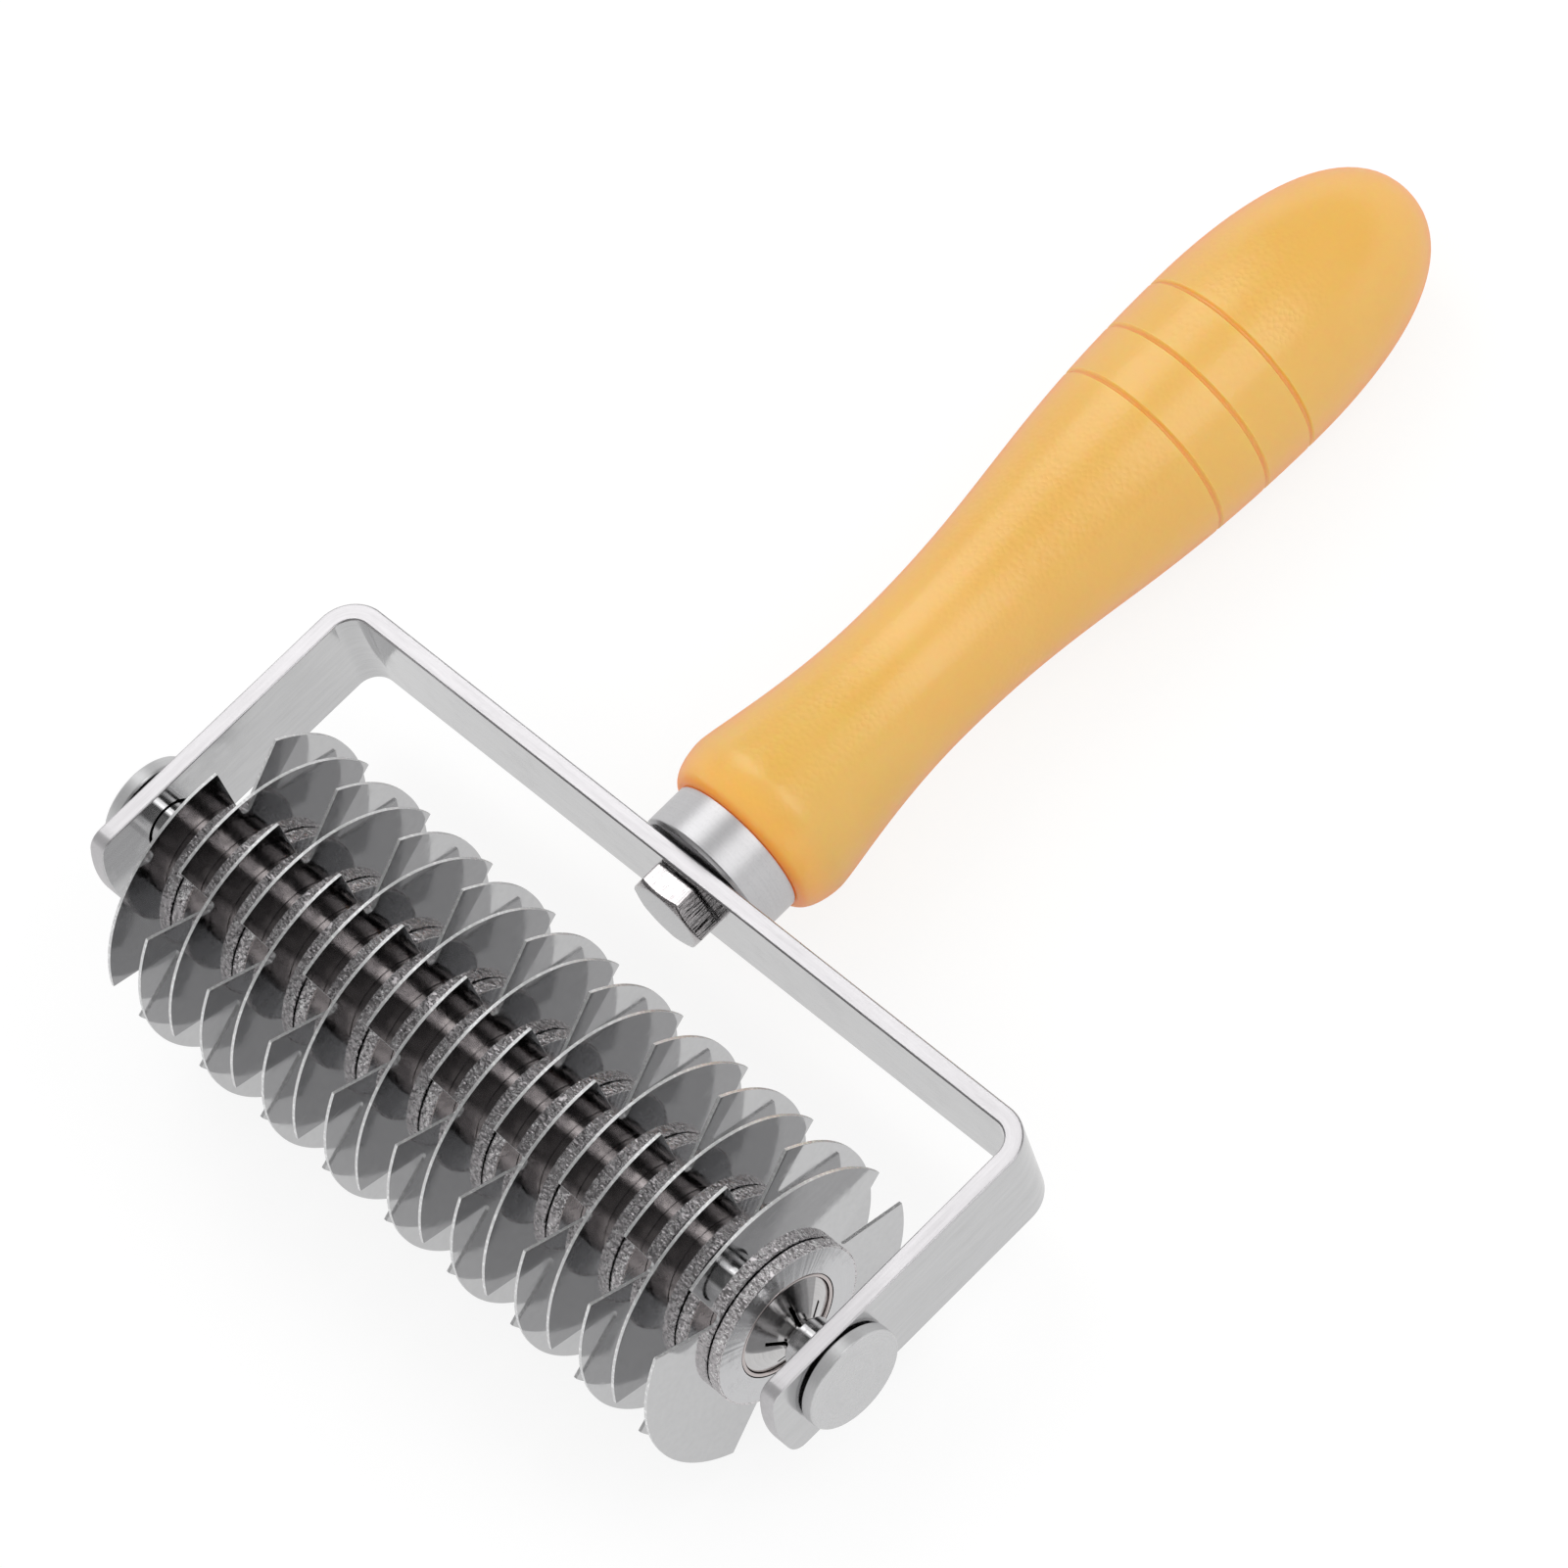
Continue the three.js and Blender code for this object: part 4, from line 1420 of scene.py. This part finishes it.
@dataclass
class Axle(SubAssembly):
    """The rod, a bush for each arm and the flat heads."""

    rod_radius: float = 2.2
    rod_left: float = -66.3
    rod_right: float = 66.3
    bush_bore: float = 2.3
    bush_radius: float = 3.7
    bush_tip_radius: float = 2.8
    bush_chamfer: float = 0.9
    bush_bright: Colour = (0.76, 0.75, 0.75, 1.0)
    bush_gloss: Pair = (0.08, 0.16)
    bush_rim_gloss: float = 0.1
    right_bush: Pair = (57.55, 65.2)
    left_bush: Pair = (-54.05, -65.2)
    head_radius: float = 7.6
    head_thickness: float = 2.15
    head_chamfer: float = 0.3
    head_hole: float = 1.1
    head_rim_gloss: float = 0.45
    head_rim_metal: float = 0.65
    right_head: float = 65.3
    left_head: float = -65.3
    edge_round: float = 0.1
    sides: int = 96

    def make(self) -> None:
        """Model and dress the rod, bushes and heads."""
        rod = Bench.bar("rod", self.rod_radius, self.rod_left, self.rod_right, Axis.ALONG_AXLE, self.sides)
        self.finish(rod, DrawnSteel("bright_rod"), Slot.HUB, "axle_rod")
        gloss = {"gloss": self.bush_gloss, "rim_gloss": self.bush_rim_gloss}
        polished = SatinSteel("polished_bush", bright=self.bush_bright, **gloss)
        for side, (tip, end) in {"right": self.right_bush, "left": self.left_bush}.items():
            bush = Bench.turned(f"bush_{side}", self.bush(tip, end), Axis.ALONG_AXLE, self.sides, ring=True)
            self.finish(bush, polished, Slot.HUB, f"axle_bush_{side}")
        satin = SatinSteel("satin_head", rim_gloss=self.head_rim_gloss, rim_metal=self.head_rim_metal)
        for side, inner in {"right": self.right_head, "left": self.left_head}.items():
            head = Bench.turned(f"head_{side}", self.head(inner), Axis.ALONG_AXLE, self.sides)
            self.finish(head, satin, Slot.CAP, f"axle_cap_{side}")

    def finish(self, work: Piece, surface: Finish, slot: Slot, node: str) -> None:
        """Round the edges of a turned piece and dress it.

        Args:
            work: The piece.
            surface: Its finish.
            slot: The record's material slot.
            node: The CAD node that it stands for.
        """
        Bench.soften(work, self.edge_round)
        Bench.smooth(work)
        self.dress(work, surface, slot, node)

    def bush(self, tip: float, end: float) -> list[Pair]:
        """The profile of a bush with a chamfered tip.

        Args:
            tip: Place of its tip, beside the hub.
            end: Place of its end, beside the head.

        Returns:
            Points of radius and place along the axle.
        """
        return [
            (self.bush_bore, tip),
            (self.bush_tip_radius, tip),
            (self.bush_radius, tip + math.copysign(self.bush_chamfer, end)),
            (self.bush_radius, end),
            (self.bush_bore, end),
        ]

    def head(self, inner: float) -> list[Pair]:
        """The profile of a flat head with a blind hole for the rod.

        Args:
            inner: Place of its inner face.

        Returns:
            Points of radius and place along the axle.
        """
        hole = inner + math.copysign(self.head_hole, inner)
        outer = inner + math.copysign(self.head_thickness, inner)
        chamfer = math.copysign(self.head_chamfer, inner)
        flat = self.head_radius - self.head_chamfer
        return [
            (0.0, hole),
            (self.bush_bore, hole),
            (self.bush_bore, inner),
            (flat, inner),
            (self.head_radius, inner + chamfer),
            (self.head_radius, outer - chamfer),
            (flat, outer),
            (0.0, outer),
        ]


@dataclass
class Hub(SubAssembly):
    """The tube that carries the discs, and the star plate at each of its ends."""

    tube_radius: float = 7.9
    tube_inner: float = 7.4
    tube_left: float = -51.6
    tube_right: float = 55.1
    tube_deep: Colour = (0.48, 0.43, 0.425, 1.0)
    tube_bright: Colour = (0.66, 0.6, 0.585, 1.0)
    tube_gloss: Pair = (0.12, 0.18)
    rim_round: float = 0.14
    plate_radius: float = 7.3
    plate_bore: float = 2.3
    plate_rise: float = 2.6
    plate_thickness: float = 0.6
    plate_deep: Colour = (0.5, 0.49, 0.49, 1.0)
    plate_bright: Colour = (0.7, 0.69, 0.69, 1.0)
    plate_gloss: Pair = (0.06, 0.16)
    right_rim: float = 54.8
    left_rim: float = -51.3
    slits: int = 5
    slit_end: float = 4.9
    slit_width: float = 0.6
    plate_round: float = 0.1
    turn_degrees: float = 7.3
    sides: int = 128

    def make(self) -> None:
        """Model and dress the tube and both plates."""
        profile = [
            (self.tube_inner, self.tube_left),
            (self.tube_radius, self.tube_left),
            (self.tube_radius, self.tube_right),
            (self.tube_inner, self.tube_right),
        ]
        tube = Bench.turned("tube", profile, Axis.ALONG_AXLE, self.sides, ring=True)
        Bench.soften(tube, self.rim_round, BROAD_EDGE_STEPS)
        Bench.smooth(tube)
        drawn = DrawnSteel("drawn_tube", self.tube_deep, self.tube_bright, self.tube_gloss)
        self.dress(tube, drawn, Slot.HUB, "hub_tube")
        pressed = DrawnSteel("pressed_plate", self.plate_deep, self.plate_bright, self.plate_gloss)
        model = self.star_plate()
        turn = Matrix.Rotation(math.radians(self.turn_degrees), 4, "X")
        facing_left = turn @ Matrix.Rotation(HALF_TURN, 4, "Y")
        for side, rim, way in (("right", self.right_rim, turn), ("left", self.left_rim, facing_left)):
            plate = Bench.twin(model, f"star_{side}", Matrix.Translation((rim, 0.0, 0.0)) @ way)
            self.dress(plate, pressed, Slot.HUB, f"hub_plate_{side}")
        bpy.data.meshes.remove(model.data)

    def star_plate(self) -> Piece:
        """Turn a dished plate and cut its slits.

        Returns:
            The plate, with its rim at zero and its mouth towards +X.
        """
        profile = [
            (self.plate_bore, self.plate_rise - self.plate_thickness),
            (self.plate_radius, -self.plate_thickness),
            (self.plate_radius, 0.0),
            (self.plate_bore, self.plate_rise),
        ]
        plate = Bench.turned("star_model", profile, Axis.ALONG_AXLE, self.sides, ring=True)
        Bench.clear()
        bpy.ops.mesh.primitive_cube_add(size=1.0)
        cutter = Bench.newest("slit_cutter")
        size = (3 * self.plate_rise, self.slit_end, self.slit_width)
        Bench.lay(cutter, Matrix.Translation((0.0, self.slit_end / 2, 0.0)), size)
        Bench.spin(self.slits, FULL_TURN, Axis.ALONG_AXLE, copies=True)
        Bench.close_mesh()
        Bench.combine(plate, cutter, Cut.AWAY)
        Bench.soften(plate, self.plate_round)
        Bench.smooth(plate)
        return plate


@dataclass
class Row(SubAssembly):
    """A row of alike pieces along the tube, modelled once and copied."""

    count: int = 18
    pitch: float = 6.0
    first_left: float = 0.0
    bore: float = 8.0

    def angle(self, number: int) -> float:
        """The turn of a piece about the axle, in radians. Each row has its own way."""
        raise NotImplementedError

    def lay_out(self, model: Piece, finish: Finish, slot: Slot, name: str, node: str) -> None:
        """Copy a model along the tube and dress the copies.

        Args:
            model: The piece to copy, which is used up.
            finish: The surface of the copies.
            slot: The record's material slot.
            name: Start of the copies' names.
            node: Start of the CAD nodes' names.
        """
        for number in range(1, self.count + 1):
            left = self.first_left + self.pitch * (number - 1)
            move = Matrix.Translation((left, 0.0, 0.0)) @ Matrix.Rotation(self.angle(number), 4, "X")
            copy = Bench.twin(model, f"{name}_{number:02d}", move)
            self.dress(copy, finish, slot, f"{node}_{number:02d}")
        bpy.data.meshes.remove(model.data)


@dataclass
class CuttingDiscs(Row):
    """The three-lobed discs, each turned against the one before."""

    first_left: float = -49.5
    radius: float = 22.4
    thickness: float = 0.5
    lobes: int = 3
    mouth: float = 10.2
    root_radius: float = 0.9
    root_centre: float = 13.3
    turn_degrees: float = 7.3
    edge_round: float = 0.05
    lobe_steps: int = 48
    root_steps: int = 8
    bore_sides: int = 96

    def make(self) -> None:
        """Model one disc, then copy and dress them all."""
        self.lay_out(self.disc(), DiscSteel("mirror_sheet"), Slot.BLADE, "disc", "blade")

    def angle(self, number: int) -> float:
        """The turn of a disc about the axle, half a lobe further on each odd one."""
        return math.radians(self.turn_degrees) + number % 2 * HALF_TURN / self.lobes

    def disc(self) -> Piece:
        """Draw a third of the outline, repeat it, fill it round the bore and give it its thickness.

        Returns:
            One disc, with its left face at zero and a notch towards +Y.
        """
        third = FULL_TURN / self.lobes
        half_mouth = math.asin(self.mouth / 2 / self.radius)
        corner = Vector((0.0, self.radius * math.cos(half_mouth), self.radius * math.sin(half_mouth)))
        root = Vector((0.0, self.root_centre, 0.0))
        reach = corner - root
        touch = math.atan2(reach.z, reach.y) + math.acos(self.root_radius / reach.length)
        next_root = Matrix.Rotation(third, 3, "X") @ root
        far_side = third - touch
        next_touch = next_root + Vector((0.0, math.cos(far_side), math.sin(far_side))) * self.root_radius
        pen = Pen("disc_model", root - Vector((0.0, self.root_radius, 0.0)))
        pen.arc(root, touch - HALF_TURN, self.root_steps)
        pen.line_to(corner)
        pen.arc(Vector(), third - 2 * half_mouth, self.lobe_steps)
        pen.line_to(next_touch)
        pen.arc(next_root, touch - HALF_TURN, self.root_steps)
        bpy.ops.mesh.select_all(action="SELECT")
        Bench.spin(self.lobes, FULL_TURN, Axis.ALONG_AXLE, copies=True)
        bpy.ops.mesh.select_all(action="SELECT")
        bpy.ops.mesh.remove_doubles(threshold=NEAR_MM)
        upright = (0.0, QUARTER_TURN, 0.0)
        place = {"location": (0.0, 0.0, 0.0), "rotation": upright}
        bpy.ops.mesh.primitive_circle_add(vertices=self.bore_sides, radius=self.bore, **place)
        bpy.ops.mesh.select_all(action="SELECT")
        bpy.ops.mesh.fill(use_beauty=True)
        Bench.extrude((self.thickness, 0.0, 0.0))
        Bench.close_mesh()
        Bench.soften(pen.work, self.edge_round)
        Bench.smooth(pen.work)
        return pen.work


@dataclass
class BackingRings(Row):
    """The sheared rings, one against the right side of each disc."""

    first_left: float = -48.9
    radius: float = 12.1
    thickness: float = 2.0
    roll_over: float = 0.3
    roll_steps: int = 4
    edge_rows: int = 12
    grain_size: float = 0.35
    grain_layers: int = 2
    grain_depth: float = 0.09
    twist_degrees: float = 47.0
    sharp_from: float = 50.0
    sides: int = 360

    def make(self) -> None:
        """Model one ring, then copy each turned differently and dress them all."""
        self.lay_out(self.ring(), RingSteel("sheared_ring"), Slot.RING, "ring", "backing_ring")

    def angle(self, number: int) -> float:
        """The twist of a ring, so that no two show the same grain."""
        return math.radians(self.twist_degrees * number)

    def ring(self) -> Piece:
        """Turn a ring with a rolled-over edge and break its outside into grains.

        Returns:
            One ring, with its left face at zero.
        """
        profile = [(self.bore, 0.0)]
        for step in range(self.roll_steps + 1):
            angle = QUARTER_TURN * step / self.roll_steps
            out = self.radius - self.roll_over * (1 - math.sin(angle))
            profile.append((out, self.roll_over * (1 - math.cos(angle))))
        width = self.thickness - self.roll_over
        for row in range(1, self.edge_rows + 1):
            profile.append((self.radius, self.roll_over + width * row / self.edge_rows))
        profile.append((self.bore, self.thickness))
        work = Bench.turned("ring_model", profile, Axis.ALONG_AXLE, self.sides, ring=True)
        self.shear(work)
        Bench.smooth(work, self.sharp_from)
        return work

    def shear(self, work: Piece) -> None:
        """Displace the outer edge inwards by a cloudy grain.

        Args:
            work: The turned ring.
        """
        edge = work.vertex_groups.new(name="sheared_edge")
        limit = self.radius - self.roll_over / 2
        chosen = [point.index for point in work.data.vertices if math.hypot(point.co.y, point.co.z) > limit]
        edge.add(chosen, 1.0, "REPLACE")
        cloud = bpy.data.textures.new("shear_grain", "CLOUDS")
        cloud.noise_scale = self.grain_size
        cloud.noise_depth = self.grain_layers
        reading = {"texture": cloud, "texture_coords": "LOCAL", "vertex_group": edge.name}
        Bench.change(work, "DISPLACE", strength=self.grain_depth, mid_level=1.0, **reading)
        work.vertex_groups.clear()


@dataclass
class Studio:
    """The floor, the white surroundings, the lamps and the camera."""

    space: ToolSpace
    floor_reach: float = 4.0
    floor_bounce: float = 0.8
    floor_shade: float = 0.2
    floor_glow: float = 0.83
    floor_mirrored: float = 0.7
    sky_shown: float = 1.0
    sky_light: float = 0.79
    wall_range: Pair = (0.2, 0.5)
    front_shown: float = 0.22
    back_shown: float = 0.06
    band_at: float = 0.24
    band_half: float = 0.09
    band_shown: float = 0.95
    unscattered: float = 0.5
    left_softbox: Triple = (-0.5, 0.22, 0.84)
    right_softbox: Triple = (0.56, 0.28, 0.77)
    softbox_away: float = 0.9
    softbox_size: Pair = (0.62, 0.34)
    softbox_watts: float = 1.12
    sensor_mm: float = 36.0
    focal_pixels: float = 10147.7
    image_pixels: float = 1601.0
    clip_start: float = 0.05
    camera_place: Triple = (627.05, -254.03, 1086.32)
    camera_right: Triple = (0.69010, 0.69518, -0.20122)
    camera_forward: Triple = (-0.48636, 0.23960, -0.84026)

    def make(self) -> None:
        """Set up everything round the tool."""
        bpy.context.scene.view_settings.view_transform = "Standard"
        self.floor()
        self.sky()
        self.softbox("left_softbox", self.left_softbox)
        self.softbox("right_softbox", self.right_softbox)
        self.camera()

    @staticmethod
    def hang(name: str, device: bpy.types.ID) -> Piece:
        """Put a lamp or a camera into the scene.

        Args:
            name: Name of the object.
            device: The lamp or camera.

        Returns:
            The object that holds it.
        """
        stand = bpy.data.objects.new(name, device)
        bpy.context.scene.collection.objects.link(stand)
        return stand

    def floor(self) -> None:
        """Lay a pale floor under the tool that takes its soft shadow."""
        Bench.clear()
        bpy.ops.mesh.primitive_plane_add(size=2 * self.floor_reach, location=(0.0, 0.0, CAD_LOW.z))
        ground = Bench.newest("studio_floor")
        paint = bpy.data.materials.new("pale_floor")
        paint.use_nodes = True
        desk = NodeDesk(paint.node_tree)
        path = desk.add("ShaderNodeLightPath").outputs
        mirrored = desk.math("MAXIMUM", path["Is Glossy Ray"], path["Is Transmission Ray"])
        plain = desk.add("ShaderNodeBsdfDiffuse", {"Color": (self.floor_bounce,) * 3 + (1.0,)})
        shade = desk.add("ShaderNodeBsdfDiffuse", {"Color": (self.floor_shade,) * 3 + (1.0,)})
        strength = desk.blend(path["Is Glossy Ray"], self.floor_glow, self.floor_mirrored)
        glow = desk.add("ShaderNodeEmission", {"Strength": strength})
        shown = desk.add("ShaderNodeAddShader", {0: shade.outputs[0], 1: glow.outputs[0]})
        mixed = desk.overlay(desk.math("MAXIMUM", path["Is Camera Ray"], mirrored), plain, shown)
        desk.add("ShaderNodeOutputMaterial", {"Surface": mixed.outputs[0]})
        ground.data.materials.append(paint)

    def sky(self) -> None:
        """Surround the tool with white walls and a dim ceiling, darker to the back, with a lit band.

        The camera sees plain white, metal sees the room, and all else takes an even light.
        """
        world = bpy.data.worlds.new("white_room")
        bpy.context.scene.world = world
        world.use_nodes = True
        desk = NodeDesk(world.node_tree)
        _, back, up = desk.split(desk.add("ShaderNodeTexCoord").outputs["Generated"])
        ceiling = desk.between(back, (-self.band_at, self.band_at), self.front_shown, self.back_shown)
        walls = desk.blend(desk.between(up, self.wall_range), self.sky_shown, ceiling)
        band_range = (self.band_half, 2 * self.band_half)
        band = desk.between(desk.off(back, self.band_at), band_range, self.band_shown, 0.0)
        path = desk.add("ShaderNodeLightPath").outputs
        seen = desk.math("MAXIMUM", path["Is Camera Ray"], path["Is Transmission Ray"])
        unscattered = desk.math("LESS_THAN", path["Diffuse Depth"], self.unscattered)
        metal = desk.math("MULTIPLY", path["Is Glossy Ray"], unscattered)
        strengths = (self.sky_light, desk.math("MAXIMUM", walls, band), self.sky_shown)
        feeds = [{"Color": WHITE, "Strength": strength} for strength in strengths]
        light, room, shown = [desk.add("ShaderNodeBackground", feed) for feed in feeds]
        mixed = desk.overlay(seen, desk.overlay(metal, light, room), shown)
        desk.add("ShaderNodeOutputWorld", {"Surface": mixed.outputs[0]})

    def softbox(self, name: str, towards: Triple) -> None:
        """Hang a softbox over the tool, out of the camera's sight.

        Args:
            name: Name of the lamp.
            towards: Where it hangs, seen from the tool.
        """
        away = self.space.direction(towards)
        along = Vector(Axis.ALONG_HANDLE.value).cross(away).normalized()
        lamp = bpy.data.lights.new(name, "AREA")
        lamp.shape = "RECTANGLE"
        lamp.size, lamp.size_y = self.softbox_size
        lamp.energy = self.softbox_watts
        hung = self.hang(name, lamp)
        hung.location = (CAD_LOW + CAD_HIGH) / 2 + away * self.softbox_away
        hung.rotation_euler = Matrix((along, away.cross(along), away)).transposed().to_euler()
        hung.visible_camera = False

    def camera(self) -> None:
        """Set the camera where the photographer stood."""
        right = self.space.direction(self.camera_right)
        forward = self.space.direction(self.camera_forward)
        lens = bpy.data.cameras.new("photographer")
        lens.sensor_width = self.sensor_mm
        lens.lens = self.sensor_mm * self.focal_pixels / self.image_pixels
        lens.clip_start = self.clip_start
        stand = self.hang("photographer", lens)
        turn = Matrix((right, right.cross(forward), -forward)).transposed().to_4x4()
        stand.matrix_world = Matrix.Translation(self.space.matrix() @ Vector(self.camera_place)) @ turn
        bpy.context.scene.camera = stand


def main() -> None:
    """Build every sub-assembly in order, then the studio."""
    logging.basicConfig(level=logging.INFO, format="%(message)s")
    space = ToolSpace.from_frame(frame)
    assemblies = [Yoke, HandleBolt, Handle, Axle, Hub, CuttingDiscs, BackingRings]
    for kind in assemblies:
        kind(space).make()
    Studio(space).make()


if __name__ == "__main__":
    main()
